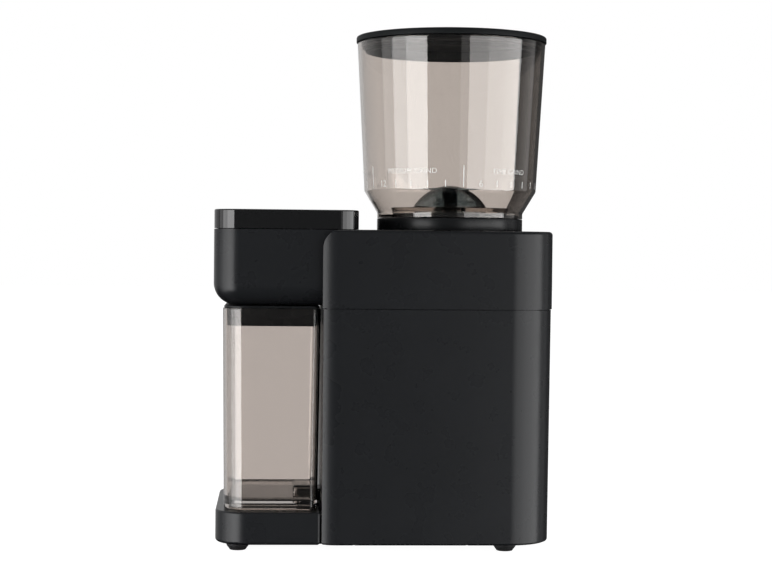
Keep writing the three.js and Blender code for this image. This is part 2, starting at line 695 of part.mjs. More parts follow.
// A leaf spring whose bent tip clicks over the notches of the adjusting ring.
const springOutline = [
  [52.9, -0.8], [54.6, -12], [55.2, -12], [53.8, -0.2], [55.2, 12], [54.6, 12], [52.9, 0.8],
];
add("detent_spring", STEEL, prism(springOutline, 229, 233), { group: mill });

function burrCarrier() {
  const sleeve = turned([
    [0, 213], [43.4, 213], [43.4, 236.4], [46, 236.4], [46, 246.4], [0, 246.4],
  ]);
  const seat = RING_BURR.r + GAP;
  const throat = turned([
    [0, 200], [seat, 200], [seat, 236], [24.5, 236], [24.5, 238], [43, 250], [0, 250],
  ]);
  return cut(sleeve, throat);
}
add("burr_carrier", INNER_BLACK, burrCarrier(), { group: mill });

// A stack of saw-toothed outlines, for the cutting faces of the burrs.
function toothedStack(levels, teeth, twist) {
  const low = levels[0].z;
  const span = levels[levels.length - 1].z - low;
  return loft(
    levels.map(({ z, edge, root }) =>
      Array.from({ length: teeth * 3 }, (_, i) => {
        const tooth = Math.floor(i / 3);
        const [r, part] = [[edge, 0], [edge, 0.2], [root, 0.35]][i % 3];
        const a = (2 * Math.PI * (tooth + part)) / teeth + (twist * (z - low)) / span;
        return [r * Math.cos(a), r * Math.sin(a), z];
      }),
    ),
  );
}

const coneRadius = (z) => CONE.base - CONE.slope * (z - CONE.z);
function coneBurr() {
  const levels = [209, 211.5, 214.5, 219, 223.5, 228].map((z, i) => {
    const edge = coneRadius(z);
    return { z, edge, root: edge - 0.7 - 0.45 * i };
  });
  return cut(toothedStack(levels, 11, 0.5), rod(SHAFT_R + GAP, 200, 240, 0, 0, SMALL));
}
add("cone_burr", STEEL, coneBurr(), { group: mill });

function ringBurr() {
  const { r, z, top, waist, mouth } = RING_BURR;
  const bottomR = coneRadius(z) + BURR_CLEARANCE;
  const waistR = coneRadius(waist) + BURR_CLEARANCE;
  const levels = [
    { z: z - 0.5, edge: bottomR + 0.3, root: bottomR + 0.8 },
    { z, edge: bottomR, root: bottomR + 0.7 },
    { z: waist, edge: waistR, root: waistR + 1.3 },
    { z: 228, edge: (waistR + mouth) / 2, root: (waistR + mouth) / 2 + 2 },
    { z: top + 0.5, edge: mouth, root: mouth + 2.6 },
  ];
  return cut(rod(r, z, top, 0, 0, ROUND), toothedStack(levels, 14, -0.4));
}
add("ring_burr", STEEL, ringBurr(), { group: mill });

// ---------------------------------------------------------------- grinding chamber

function burrHousing() {
  const cup = turned([
    [0, CHAMBER_Z], [CHAMBER_R + 3, CHAMBER_Z], [CHAMBER_R + 3, CHAMBER_TOP], [CHAMBER_R, CHAMBER_TOP],
    [CHAMBER_R, CHAMBER_Z + 3], [0, CHAMBER_Z + 3],
  ]);
  const outlet = block(-12.6, 12.6, -60, -20, CHAMBER_Z + 4.8, 215.5);
  return cut(cup, rod(9.3, 190, 205), outlet);
}
add("burr_housing", INNER_BLACK, burrHousing(), { group: mill });

function impeller() {
  const disc = rod(42.4, 201, 202.6, 0, 0, ROUND);
  const hub = rod(13, 201, 208.7, 0, 0, SMALL);
  const paddles = [0, 90, 180, 270].map((degrees) => {
    const paddle = new THREE.BoxGeometry(30, 2, 4.6).translate(27, 0, 204.6);
    return solid(paddle.rotateZ((degrees * Math.PI) / 180));
  });
  return cut(join(disc, hub, ...paddles), rod(SHAFT_R + GAP, 190, 220, 0, 0, SMALL));
}
add("impeller", ACETAL, impeller(), { group: mill });

const burrShaft = turned([[0, 150.5], [SHAFT_R, 150.5], [SHAFT_R, 231.8], [0, 232.4]], SMALL);
add("burr_shaft", STEEL, burrShaft, { group: mill });
const burrNut = cut(rod(7, 228.4, 231.6, 0, 0, 6), rod(SHAFT_R + GAP, 220, 240, 0, 0, SMALL));
add("burr_nut", ZINC, burrNut, { group: mill });
add("upper_bearing", STEEL, ring(9, SHAFT_R + GAP, 192.6, 198.4, SMALL), { group: mill });
add("lower_bearing", STEEL, ring(7.5, SHAFT_R + GAP, 151.3, 156, SMALL), { group: mill });

// ---------------------------------------------------------------- gearbox and motor

// The gearbox outline, grown outwards on every side.
function gearboxPlan(grow) {
  const { x0, x1, y0, y1, r } = GEARBOX;
  const round = r + grow;
  const shape = new THREE.Shape();
  shape.absarc(x1 - r, y1 - r, round, 0, Math.PI / 2);
  shape.absarc(x0 + r, y1 - r, round, Math.PI / 2, Math.PI);
  shape.absarc(x0 + r, y0 + r, round, Math.PI, 1.5 * Math.PI);
  shape.absarc(x1 - r, y0 + r, round, 1.5 * Math.PI, 2 * Math.PI);
  return shape;
}

function gearboxSlab(grow, z0, z1) {
  const options = { depth: z1 - z0, bevelEnabled: false, curveSegments: CORNER };
  return solid(new THREE.ExtrudeGeometry(gearboxPlan(grow), options).translate(0, 0, z0));
}

function gearboxCase() {
  const { floor, top } = GEARBOX;
  const cup = cut(gearboxSlab(0, floor, top), gearboxSlab(-2.5, floor + 3, top + 5));
  const seat = ring(10.5, 7.8, floor + 2, 156, SMALL).translate(0, AXIS_Y, 0);
  const shaftHole = rod(6.5, 100, 150, ...MOTOR_AT);
  const axleHole = rod(3.3, 100, 150, ...IDLER_AT);
  return cut(join(cup, seat), shaftHole, axleHole);
}
add("gearbox_case", INNER_BLACK, gearboxCase());

function gearboxCover() {
  const { top } = GEARBOX;
  const plate = gearboxSlab(0, top + GAP, top + 3.3);
  const neck = rod(13, top + 1, CHAMBER_Z - GAP, 0, AXIS_Y, 16);
  const shaftWay = rod(6, 170, 200, 0, AXIS_Y);
  const bearingSeat = rod(9.3, 192.3, 200, 0, AXIS_Y);
  return cut(join(plate, neck), shaftWay, bearingSeat, rod(3.3, 170, 180, ...IDLER_AT));
}
add("gearbox_cover", INNER_BLACK, gearboxCover());

const pinionShape = { addendum: 0.85, backlash: 0.2, undercut: 0.45 };
const wheelShape = { addendum: 0.75, backlash: 0.2 };

const pinionTurn = Math.atan2(IDLER_AT[1] - MOTOR_AT[1], IDLER_AT[0] - MOTOR_AT[0]);
const wheelTurn = meshTurn(MOTOR_AT, IDLER_AT, pinionTurn, PINION_TEETH, WHEEL_TEETH);
const idlerToShaft = Math.atan2(AXIS_Y - IDLER_AT[1], -IDLER_AT[0]);
const outputTurn = meshTurn(IDLER_AT, [0, AXIS_Y], idlerToShaft, PINION_TEETH, WHEEL_TEETH);

const motorPinion = cut(
  prism(gearOutline(PINION_TEETH, FINE_MODULE, pinionShape), 151, 158.6),
  rod(2.8, 140, 170, 0, 0, 12),
);
add("motor_pinion", ZINC, motorPinion, { at: [...MOTOR_AT, 0], turn: pinionTurn });

function idlerGear() {
  const wheel = prism(gearOutline(WHEEL_TEETH, FINE_MODULE, wheelShape), 151.5, 157.5);
  const small = gearOutline(PINION_TEETH, COARSE_MODULE, pinionShape);
  const c = Math.cos(idlerToShaft - wheelTurn);
  const s = Math.sin(idlerToShaft - wheelTurn);
  const pinion = prism(small.map(([x, y]) => [x * c - y * s, x * s + y * c]), 157, 172);
  return cut(join(wheel, pinion), rod(3.3, 140, 180, 0, 0, SMALL));
}
add("idler_gear", ACETAL, idlerGear(), { at: [...IDLER_AT, 0], turn: wheelTurn });
add("idler_axle", STEEL, rod(3, 146.4, 179, 0, 0, SMALL), { at: [...IDLER_AT, 0] });

const outputGear = cut(
  join(
    prism(gearOutline(WHEEL_TEETH, COARSE_MODULE, wheelShape), 161.5, 170.5),
    rod(10, 158, 174),
  ),
  rod(SHAFT_R + GAP, 140, 180, 0, 0, SMALL),
);
add("output_gear", ACETAL, outputGear, { group: mill, turn: outputTurn });

const motor = new THREE.Group();
motor.position.set(...MOTOR_AT, 0);
grinder.add(motor);

const canProfile = [
  [6.4, 145.7], [6.4, 143], [MOTOR_R - 2.5, 143], [MOTOR_R - 2.5, MOTOR_Z], [MOTOR_R, MOTOR_Z],
  [MOTOR_R, 145.7], [6.4, 145.7],
];
add("motor_can", ZINC, turned(canProfile, 24), { group: motor });
const capProfile = [
  [3, 70], [9, 70], [9, 73], [MOTOR_R, 73], [MOTOR_R, MOTOR_Z - GAP], [3, MOTOR_Z - GAP], [3, 70],
];
add("motor_end_cap", INNER_BLACK, turned(capProfile, 24), { group: motor });
add("motor_magnet", MAGNET, ring(MOTOR_R - 2.8, 22.5, 90, 134, 24), { group: motor });

function motorRotor() {
  const shaft = rod(2.5, 71, 159.2, 0, 0, SMALL);
  const commutator = rod(8, 80, 89, 0, 0, SMALL);
  const slots = 8;
  const stack = Array.from({ length: slots * 4 }, (_, i) => {
    const a = (2 * Math.PI * (Math.floor(i / 4) + [0.04, 0.3, 0.7, 0.96][i % 4])) / slots;
    const r = [14, 21.6, 21.6, 14][i % 4];
    return [r * Math.cos(a), r * Math.sin(a)];
  });
  return join(shaft, commutator, prism(stack, 92, 132));
}
add("motor_rotor", STEEL, motorRotor(), { group: motor });

// A plate across the housing that carries the drive on rubber.
const bracketPlan = { x: 74.5, front: -40, rear: 110, rFront: 8, rRear: 22 };
const motorHole = rod(MOTOR_R + 2, 100, 160, ...MOTOR_AT, 24);
add("drive_bracket", ZINC, cut(slab(bracketPlan, BRACKET_Z, BRACKET_Z + 2.5), motorHole));
[[-40, 2], [25, 70], [-40, 76]].forEach(([x, y], i) => {
  const damper = rod(6, BRACKET_Z + 2.8, GEARBOX.floor - GAP, 0, 0, SMALL);
  add(`drive_damper_${i + 1}`, RUBBER, damper, { at: [x, y, 0] });
});

// ---------------------------------------------------------------- electrics

const powerBoard = join(
  block(-42, 42, 108, 109.6, 44, 122),
  block(-34, -8, 92, 108.5, 54, 80),
  block(6, 22, 96, 108.5, 52, 74),
  block(-30, 30, 100, 108.5, 92, 104),
);
add("power_board", BOARD, powerBoard);

const hopperSwitch = join(block(56, 66, 44, 64, 221, 228), block(55.2, 66, 52, 55, 227, 231));
add("hopper_switch", INNER_BLACK, hopperSwitch);

export default grinder;
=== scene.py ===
"""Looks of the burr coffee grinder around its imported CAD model.

The frame is the model's own: +Z up, the front at -Y, and the camera on the +X side.
Shapes are drawn in millimetres and stored in metres.
"""

import json
import math

import bmesh
import bpy
from mathutils import Matrix, Vector


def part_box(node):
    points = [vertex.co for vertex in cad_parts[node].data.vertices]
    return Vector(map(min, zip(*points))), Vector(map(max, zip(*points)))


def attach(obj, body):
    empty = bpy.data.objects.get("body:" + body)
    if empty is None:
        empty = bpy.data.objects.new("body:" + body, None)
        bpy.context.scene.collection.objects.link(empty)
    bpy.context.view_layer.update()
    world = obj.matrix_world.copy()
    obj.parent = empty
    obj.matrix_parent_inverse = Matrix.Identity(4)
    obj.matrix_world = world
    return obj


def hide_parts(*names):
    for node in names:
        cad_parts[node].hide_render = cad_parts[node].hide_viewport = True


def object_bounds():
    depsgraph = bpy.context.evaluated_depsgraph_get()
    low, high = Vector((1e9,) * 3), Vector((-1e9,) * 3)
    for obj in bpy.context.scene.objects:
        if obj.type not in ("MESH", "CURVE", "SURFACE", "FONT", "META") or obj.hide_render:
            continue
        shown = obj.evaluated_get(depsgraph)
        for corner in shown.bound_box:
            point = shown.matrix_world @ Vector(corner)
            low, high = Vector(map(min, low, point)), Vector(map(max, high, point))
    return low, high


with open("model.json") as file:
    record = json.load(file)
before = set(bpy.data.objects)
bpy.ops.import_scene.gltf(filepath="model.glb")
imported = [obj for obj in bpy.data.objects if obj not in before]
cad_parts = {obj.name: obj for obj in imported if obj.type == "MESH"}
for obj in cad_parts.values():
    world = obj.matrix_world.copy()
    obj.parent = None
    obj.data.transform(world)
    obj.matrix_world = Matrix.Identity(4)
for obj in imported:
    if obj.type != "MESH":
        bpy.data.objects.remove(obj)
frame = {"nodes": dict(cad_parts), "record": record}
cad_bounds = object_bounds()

MM = 0.001
GAP = 0.3  # between pieces that touch
TURNS = 128  # sides of a turned piece
FINE_TURNS = 192  # sides of the widest turned pieces
CORNER_STEPS = 14  # steps round a 90 degree corner in plan
EDGE = 0.4  # the small rounding that every moulded edge has

# ---------------------------------------------------------------- places from the CAD


class Extent:
    """The box of a CAD node at rest, in millimetres."""

    def __init__(self, node):
        low, high = (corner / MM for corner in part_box(node))
        self.x0, self.y0, self.z0 = low
        self.x1, self.y1, self.z1 = high

    @property
    def middle(self):
        return (self.x0 + self.x1) / 2, (self.y0 + self.y1) / 2

    @property
    def radius(self):
        return (self.x1 - self.x0) / 2


upper = Extent("upper_housing")
lower = Extent("lower_housing")
tray = Extent("base_tray")
platform = Extent("scale_platform")
head = Extent("head_shell")
panel = Extent("control_panel")
display = Extent("display_window")
cup = Extent("grounds_container")
cap = Extent("container_lid")
bowl = Extent("hopper_bowl")
collar = Extent("hopper_collar")
dish = Extent("hopper_shutter")
guard = Extent("bean_guard")
lid = Extent("hopper_lid")
dial = Extent("adjusting_ring")
spout = Extent("static_flap")
gland = Extent("cord_inlet")

AXIS = bowl.middle
OUTLET = spout.middle

# ---------------------------------------------------------------- mesh helpers


def link(name, bm):
    """A new object from a bmesh drawn in millimetres."""
    bmesh.ops.scale(bm, vec=(MM, MM, MM), verts=bm.verts)
    bmesh.ops.recalc_face_normals(bm, faces=bm.faces)
    mesh = bpy.data.meshes.new(name)
    bm.to_mesh(mesh)
    bm.free()
    obj = bpy.data.objects.new(name, mesh)
    bpy.context.scene.collection.objects.link(obj)
    return obj


def apply_modifiers(obj):
    bpy.context.view_layer.update()
    graph = bpy.context.evaluated_depsgraph_get()
    made = bpy.data.meshes.new_from_object(obj.evaluated_get(graph))
    old = obj.data
    obj.modifiers.clear()
    obj.data = made
    bpy.data.meshes.remove(old)


def combine(obj, others, operation):
    """Applies a boolean with each other object, and removes those objects."""
    for other in others:
        step = obj.modifiers.new("combine", "BOOLEAN")
        step.operation = operation
        step.solver = "EXACT"
        step.object = other
        apply_modifiers(obj)
        bpy.data.objects.remove(other)
    return obj


def cut(obj, *cutters):
    return combine(obj, cutters, "DIFFERENCE")


def join(obj, *others):
    return combine(obj, others, "UNION")


def soften(obj, width=EDGE, angle=38, segments=2):
    """Rounds the hard edges, and keeps flat faces flat in the shading."""
    if width:
        bevel = obj.modifiers.new("bevel", "BEVEL")
        bevel.width = width * MM
        bevel.segments = segments
        bevel.limit_method = "ANGLE"
        bevel.angle_limit = math.radians(angle)
        bevel.use_clamp_overlap = True
        apply_modifiers(obj)
    obj.data.shade_smooth()
    normals = obj.modifiers.new("normals", "WEIGHTED_NORMAL")
    normals.keep_sharp = True
    normals.weight = 60
    apply_modifiers(obj)
    return obj


def sharpen(obj, angle=40):
    """Smooth shading with creases where faces meet at more than the angle."""
    obj.data.shade_smooth()
    bm = bmesh.new()
    bm.from_mesh(obj.data)
    for edge in bm.edges:
        edge.smooth = edge.calc_face_angle(0) < math.radians(angle)
    bm.to_mesh(obj.data)
    bm.free()
    return obj


def rounded(points, closed=False, steps=5):
    """A path of (a, b) from points (a, b, radius), with each corner made an arc."""
    path = []
    count = len(points)
    for i, point in enumerate(points):
        here = Vector(point[:2])
        radius = point[2] if len(point) > 2 else 0
        if not radius or (not closed and i in (0, count - 1)):
            path.append(tuple(here))
            continue
        back = Vector(points[i - 1][:2]) - here
        ahead = Vector(points[(i + 1) % count][:2]) - here
        half = back.angle(ahead) / 2
        reach = min(radius / math.tan(half), 0.48 * min(back.length, ahead.length))
        radius = reach * math.tan(half)
        toward = (back.normalized() + ahead.normalized()).normalized()
        centre = here + toward * (radius / math.sin(half))
        first = here + back.normalized() * reach - centre
        last = here + ahead.normalized() * reach - centre
        sweep = -first.angle_signed(last)
        for k in range(steps + 1):
            turn = Matrix.Rotation(sweep * k / steps, 2)
            path.append(tuple(centre + turn @ first))
    return path


def braced(path, closed=True, reach=0.5):
    """Adds points near the ends of long stretches, so that shading stays flat between them."""
    made = []
    following = path[1:] + (path[:1] if closed else [])
    for (a, b), (c, d) in zip(path, following):
        made.append((a, b))
        length = math.hypot(c - a, d - b)
        if length > 4 * reach:
            for share in (reach / length, 1 - reach / length):
                made.append((a + (c - a) * share, b + (d - b) * share))
    return made if closed else made + path[-1:]


def quarter(x, centre, r, end, side, pull):
    """One corner of an outline, from the side to the end wall, which may cut it short."""
    least = 0.1
    across = max(r - side, least)
    along = max(r - pull, least)
    cx = min(x - r, x - side - least)
    cy = min(centre, end - pull - least)
    whole = math.asin(min(1.0, (end - pull - cy) / along))
    sweep = [whole * step / CORNER_STEPS for step in range(CORNER_STEPS + 1)]
    return [(cx + across * math.cos(a), cy + along * math.sin(a)) for a in sweep]


def outline(plan, z, side=0.0, fore=0.0, aft=0.0):
    """A rounded rectangle about X = 0, with each face pulled in by its own inset.

    The plan's sixth number is how far behind the front the front corners start to turn;
    without it they turn through the full 90 degrees.
    """
    x, front, rear, r_front, r_rear, *rest = plan
    turn = rest[0] if rest else r_front
    back = quarter(x, rear - r_rear, r_rear, rear, side, aft)
    face = quarter(x, -turn, r_front, 0, side, fore)
    right = [(px, front - py) for px, py in reversed(face)] + back
    left = [(-px, py) for px, py in reversed(right)]
    return [(px, py, z) for px, py in right + left]


def inset_outline(plan, z, inset=0.0):
    return outline(plan, z, inset, inset, inset)


def stack(name, rings, looped=False):
    """A closed skin over outlines with the same number of points each."""
    bm = bmesh.new()
    levels = [[bm.verts.new(point) for point in ring] for ring in rings]
    count = len(rings[0])
    pairs = list(zip(levels, levels[1:]))
    if looped:
        pairs.append((levels[-1], levels[0]))
    for low, high in pairs:
        for i in range(count):
            j = (i + 1) % count
            bm.faces.new((low[i], low[j], high[j], high[i]))
    if not looped:
        bm.faces.new(levels[0])
        bm.faces.new(levels[-1])
    return link(name, bm)


def walls(plan, path):
    """Outlines of a plan along a path of (inset, z)."""
    return [inset_outline(plan, z, inset) for inset, z in path]


def slab(plan, z0, z1, inset=0.0):
    return stack("slab", walls(plan, [(inset, z0), (inset, z1)]))


def lathe(name, profile, at=(0.0, 0.0), sides=TURNS, axis="Z"):
    """A turned body from (radius, height) points: a loop, or a line from axis to axis."""
    bm = bmesh.new()
    rings = []
    for radius, height in profile:
        if radius < 1e-6:
            rings.append([bm.verts.new((0, 0, height))])
            continue
        ring = []
        for i in range(sides):
            angle = 2 * math.pi * i / sides
            ring.append(bm.verts.new((radius * math.cos(angle), radius * math.sin(angle), height)))
        rings.append(ring)
    pairs = list(zip(rings, rings[1:]))
    if len(rings[0]) > 1:
        pairs.append((rings[-1], rings[0]))
    for low, high in pairs:
        for i in range(sides):
            j = (i + 1) % sides
            if len(low) == 1:
                bm.faces.new((low[0], high[j], high[i]))
            elif len(high) == 1:
                bm.faces.new((low[i], low[j], high[0]))
            else:
                bm.faces.new((low[i], low[j], high[j], high[i]))
    if axis == "Y":
        bmesh.ops.rotate(bm, verts=bm.verts, matrix=Matrix.Rotation(-math.pi / 2, 3, "X"))
    bmesh.ops.translate(bm, verts=bm.verts, vec=(*at, 0)[:3])
    return link(name, bm)


def cylinder(radius, z0, z1, at=(0.0, 0.0), sides=64):
    return lathe("cylinder", [(0, z0), (radius, z0), (radius, z1), (0, z1)], at, sides)


def ring_body(name, outer, inner, z0, z1, at=AXIS, edge=EDGE, sides=TURNS):
    profile = [(inner, z0, edge), (outer, z0, edge), (outer, z1, edge), (inner, z1, edge)]
    return lathe(name, rounded(profile, closed=True, steps=3), at, sides)


def block(x0, x1, y0, y1, z0, z1):
    bm = bmesh.new()
    bmesh.ops.create_cube(bm, size=1)
    bmesh.ops.scale(bm, vec=(x1 - x0, y1 - y0, z1 - z0), verts=bm.verts)
    bmesh.ops.translate(bm, vec=((x0 + x1) / 2, (y0 + y1) / 2, (z0 + z1) / 2), verts=bm.verts)
    return link("block", bm)


def fillet(radius, into):
    """How far a quarter-round edge has pulled in, at a distance from where it starts."""
    if into <= 0:
        return 0.0
    return radius - math.sqrt(max(radius * radius - into * into, 0.0))


def arc_heights(start, radius, steps=9):
    """Heights that sample a quarter round evenly by angle, upwards from its start."""
    return [start + radius * math.sin(math.pi / 2 * k / steps) for k in range(1, steps + 1)]


# ---------------------------------------------------------------- materials


NOISE_LOW, NOISE_HIGH = 0.3, 0.7  # most of a noise pattern's values lie between these


class Nodes:
    """A material with its principled shader and short ways to add nodes to it."""

    def __init__(self, name):
        self.material = bpy.data.materials.new(name)
        self.material.use_nodes = True
        self.tree = self.material.node_tree
        self.shader = self.tree.nodes["Principled BSDF"]
        self.coords = self.tree.nodes.new("ShaderNodeTexCoord")

    def set(self, **values):
        """Sets the shader's own sockets, with underscores for the spaces in their names."""
        for name, value in values.items():
            self.shader.inputs[name.replace("_", " ")].default_value = value

    def new(self, kind, **settings):
        node = self.tree.nodes.new(kind)
        for name, value in settings.items():
            setattr(node, name, value)
        return node

    def link(self, source, target):
        self.tree.links.new(source, target)

    def noise(self, scale, detail, stretch=(1, 1, 1)):
        """Noise that is fixed to the object, with its scale in cells per metre."""
        mapping = self.new("ShaderNodeMapping")
        mapping.inputs["Scale"].default_value = stretch
        self.link(self.coords.outputs["Object"], mapping.inputs["Vector"])
        noise = self.new("ShaderNodeTexNoise")
        noise.inputs["Scale"].default_value = scale
        noise.inputs["Detail"].default_value = detail
        self.link(mapping.outputs["Vector"], noise.inputs["Vector"])
        return noise.outputs["Fac"]

    def range(self, source, low, high):
        """The pattern spread over the values from low to high."""
        node = self.new("ShaderNodeMapRange")
        node.inputs["From Min"].default_value = NOISE_LOW
        node.inputs["From Max"].default_value = NOISE_HIGH
        node.inputs["To Min"].default_value = low
        node.inputs["To Max"].default_value = high
        self.link(source, node.inputs["Value"])
        return node.outputs["Result"]

    def mottle(self, source, color, spread):
        """A base colour that drifts a little darker and lighter with the pattern."""
        ramp = self.new("ShaderNodeValToRGB")
        dark, light = ramp.color_ramp.elements
        dark.position = NOISE_LOW
        light.position = NOISE_HIGH
        dark.color = (*(c * (1 - spread) for c in color), 1)
        light.color = (*(c * (1 + spread) for c in color), 1)
        self.link(source, ramp.inputs["Fac"])
        self.link(ramp.outputs["Color"], self.shader.inputs["Base Color"])

    def bump(self, source, depth):
        """Relief from the pattern, with its depth in millimetres."""
        bump = self.new("ShaderNodeBump")
        bump.inputs["Distance"].default_value = depth * MM
        bump.inputs["Strength"].default_value = 1.0
        self.link(source, bump.inputs["Height"])
        self.link(bump.outputs["Normal"], self.shader.inputs["Normal"])


def moulded(name, color, roughness, grain=1400, depth=0.02, spread=0.05, vary=0.03, **more):
    """Moulded plastic or rubber: a fine tool texture, and slow changes in tone and sheen."""
    n = Nodes(name)
    n.set(**more)
    n.mottle(n.noise(14, 2), color, spread)
    n.link(n.range(n.noise(60, 3), roughness - vary, roughness + vary), n.shader.inputs["Roughness"])
    n.bump(n.noise(grain, 2), depth)
    return n.material


ACRYLIC_IOR = 1.49


def clear(name, color):
    """Clear plastic with the faint waviness of a thick moulding."""
    n = Nodes(name)
    n.set(Base_Color=(*color, 1), Transmission_Weight=1.0, IOR=ACRYLIC_IOR)
    n.link(n.range(n.noise(35, 2), 0.0, 0.03), n.shader.inputs["Roughness"])
    n.bump(n.noise(16, 1), 0.03)
    return n


def smoked(name, color):
    """Clear plastic that tints light at its surfaces."""
    return clear(name, color).material


def deep_smoked(name, color, density):
    """Clear plastic that darkens with its thickness: the density is per metre."""
    n = clear(name, (1, 1, 1))
    absorb = n.new("ShaderNodeVolumeAbsorption")
    absorb.inputs["Color"].default_value = (*color, 1)
    absorb.inputs["Density"].default_value = density
    n.link(absorb.outputs["Volume"], n.tree.nodes["Material Output"].inputs["Volume"])
    return n.material


def metal(name, color, roughness, stretch=(1, 1, 14), grain=420, depth=0.012):
    """Ground or plated metal with fine marks across one direction."""
    n = Nodes(name)
    n.set(Metallic=1.0)
    marks = n.noise(grain, 4, stretch)
    n.mottle(n.noise(30, 2), color, 0.08)
    n.link(n.range(marks, roughness - 0.08, roughness + 0.1), n.shader.inputs["Roughness"])
    n.bump(marks, depth)
    return n.material


def board(name, color):
    """A circuit board: fine lines of copper under a green mask."""
    n = Nodes(name)
    n.set(Roughness=0.35)
    tracks = n.new("ShaderNodeTexBrick")
    tracks.inputs["Scale"].default_value = 260
    tracks.inputs["Mortar Size"].default_value = 0.03
    tracks.inputs["Color1"].default_value = (*color, 1)
    tracks.inputs["Color2"].default_value = (*(c * 0.75 for c in color), 1)
    tracks.inputs["Mortar"].default_value = (*(c * 2.2 for c in color), 1)
    n.link(n.coords.outputs["Object"], tracks.inputs["Vector"])
    n.link(tracks.outputs["Color"], n.shader.inputs["Base Color"])
    n.bump(tracks.outputs["Fac"], 0.03)
    return n.material


SHEEN = {"Specular_IOR_Level": 0.22}
GLOW = {"Emission_Color": (1, 1, 1, 1), "Emission_Strength": 0.2}  # painted light: the ink glows a little of its own, to stay white in dim light
BODY = moulded("body_satin", (0.0152, 0.0162, 0.0181), 0.28, depth=0.01, vary=0.015, **SHEEN)
LID = moulded("lid_satin", (0.0105, 0.0112, 0.0123), 0.28, depth=0.008, **SHEEN)
HOPPER_LID = moulded("hopper_lid_satin", (0.0115, 0.0130, 0.0138), 0.5, depth=0.008, Specular_IOR_Level=0.1)
INNER = moulded("inner_matt", (0.012, 0.012, 0.012), 0.55, grain=900)
PANEL = moulded("panel_gloss", (0.0100, 0.0103, 0.0110), 0.035, grain=60, depth=0.001, vary=0.01)
GLASS_BLACK = moulded("display_glass", (0.004, 0.005, 0.007), 0.03, grain=50, depth=0.001, vary=0.01)
KEY = moulded("key_gloss", (0.013, 0.013, 0.014), 0.12, grain=80, depth=0.003)
PLATFORM = moulded("platform_stipple", (0.035, 0.036, 0.037), 0.55, grain=850, depth=0.12, vary=0.06)
RUBBER = moulded("foot_rubber", (0.014, 0.014, 0.015), 0.7, grain=700, depth=0.04, vary=0.06)
SILICONE = moulded("silicone_matt", (0.03, 0.03, 0.031), 0.5, grain=500, depth=0.01)
ACETAL = moulded("acetal_white", (0.74, 0.72, 0.66), 0.38, grain=300, depth=0.01, spread=0.03)
CUP_SMOKE = smoked("container_smoke", (0.70, 0.655, 0.625))
BOWL_SMOKE = smoked("hopper_smoke", (0.70, 0.655, 0.62))
GUARD_SMOKE = deep_smoked("guard_smoke", (0.06, 0.18, 0.206), 440)
STEEL = metal("steel_ground", (0.56, 0.56, 0.57), 0.28)
PLATED = metal("steel_plated", (0.50, 0.51, 0.53), 0.4, stretch=(3, 3, 3), grain=200)
ALUMINIUM = metal("aluminium_machined", (0.62, 0.62, 0.63), 0.35, stretch=(1, 12, 1))
MAGNET = moulded("magnet_ferrite", (0.05, 0.05, 0.055), 0.6, grain=1200, depth=0.05)
BOARD = board("board_mask", (0.012, 0.085, 0.04))
# white print ink, with a painted glow on top from GLOW
INK = moulded("print_white", (0.80, 0.80, 0.78), 0.5, grain=2500, depth=0.01, spread=0.03, **GLOW)

CAD_FINISH = {
    "body_black": BODY,
    "lid_black": LID,
    "inner_black": INNER,
    "panel_gloss": PANEL,
    "display_gloss": GLASS_BLACK,
    "button_gloss": KEY,
    "container_smoked": CUP_SMOKE,
    "hopper_smoked": BOWL_SMOKE,
    "platform_rubber": PLATFORM,
    "foot_rubber": RUBBER,
    "silicone": SILICONE,
    "steel": STEEL,
    "plated_steel": PLATED,
    "cell_aluminium": ALUMINIUM,
    "acetal": ACETAL,
    "circuit_board": BOARD,
    "magnet": MAGNET,
}
for entry in frame["record"]["subparts"]:
    node = frame["nodes"][entry["node"]]
    node.data.materials.clear()
    node.data.materials.append(CAD_FINISH[entry["material_slot"]])
    sharpen(node, 30)


def piece(obj, name, body, slot, material, *replaced):
    """Names a finished piece and says what it is part of."""
    obj.name = name
    obj.data.name = name
    obj.data.materials.clear()
    obj.data.materials.append(material)
    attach(obj, body)
    if replaced:
        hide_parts(*replaced)
    return obj


# ---------------------------------------------------------------- housing

WALL = 2.6
ROOF = 3  # thickness of the top
CORNER_R = 34
FRONT_TURN = 13.5  # the front corners start to turn this far behind the bay
LEAST_TURN = 2  # what the brow leaves of that at the top
TOP_R = 2.5
BROW = 13.5  # the rounding over the bay, under the top
HOUSING = (upper.x1, upper.y0, upper.y1, CORNER_R, CORNER_R, FRONT_TURN)
HEAD_R = 20
HEAD_REAR_R = 15
HEAD_FILLET = 16
HEAD_GAP = 0.35  # round the head where it enters the housing
DIAL_SEAT_R = dial.radius - 3.2
HEAD = (head.x1, head.y0, head.y1, HEAD_R, HEAD_REAR_R)


def head_skin(grow=0.0, top=None):
    """The head's skin, rounded under its front and its sides."""
    rings = []
    for k in range(13):
        rise = HEAD_FILLET * (1 - math.cos(math.pi / 2 * k / 12))
        pull = fillet(HEAD_FILLET, HEAD_FILLET - rise) - grow
        rings.append(outline(HEAD, head.z0 - grow + rise, pull, pull, -grow))
    top = head.z1 if top is None else top
    rings.append(inset_outline(HEAD, top, -grow))
    return stack("head_skin", rings)


def brow_plan(z):
    """The housing's plan at a height, its front drawn back where the brow rounds off."""
    x, front, rear, r_front, r_rear, turn = HOUSING
    back = fillet(BROW, z - (upper.z1 - BROW))
    return (x, front + back, rear, r_front, r_rear, max(turn - back, LEAST_TURN))


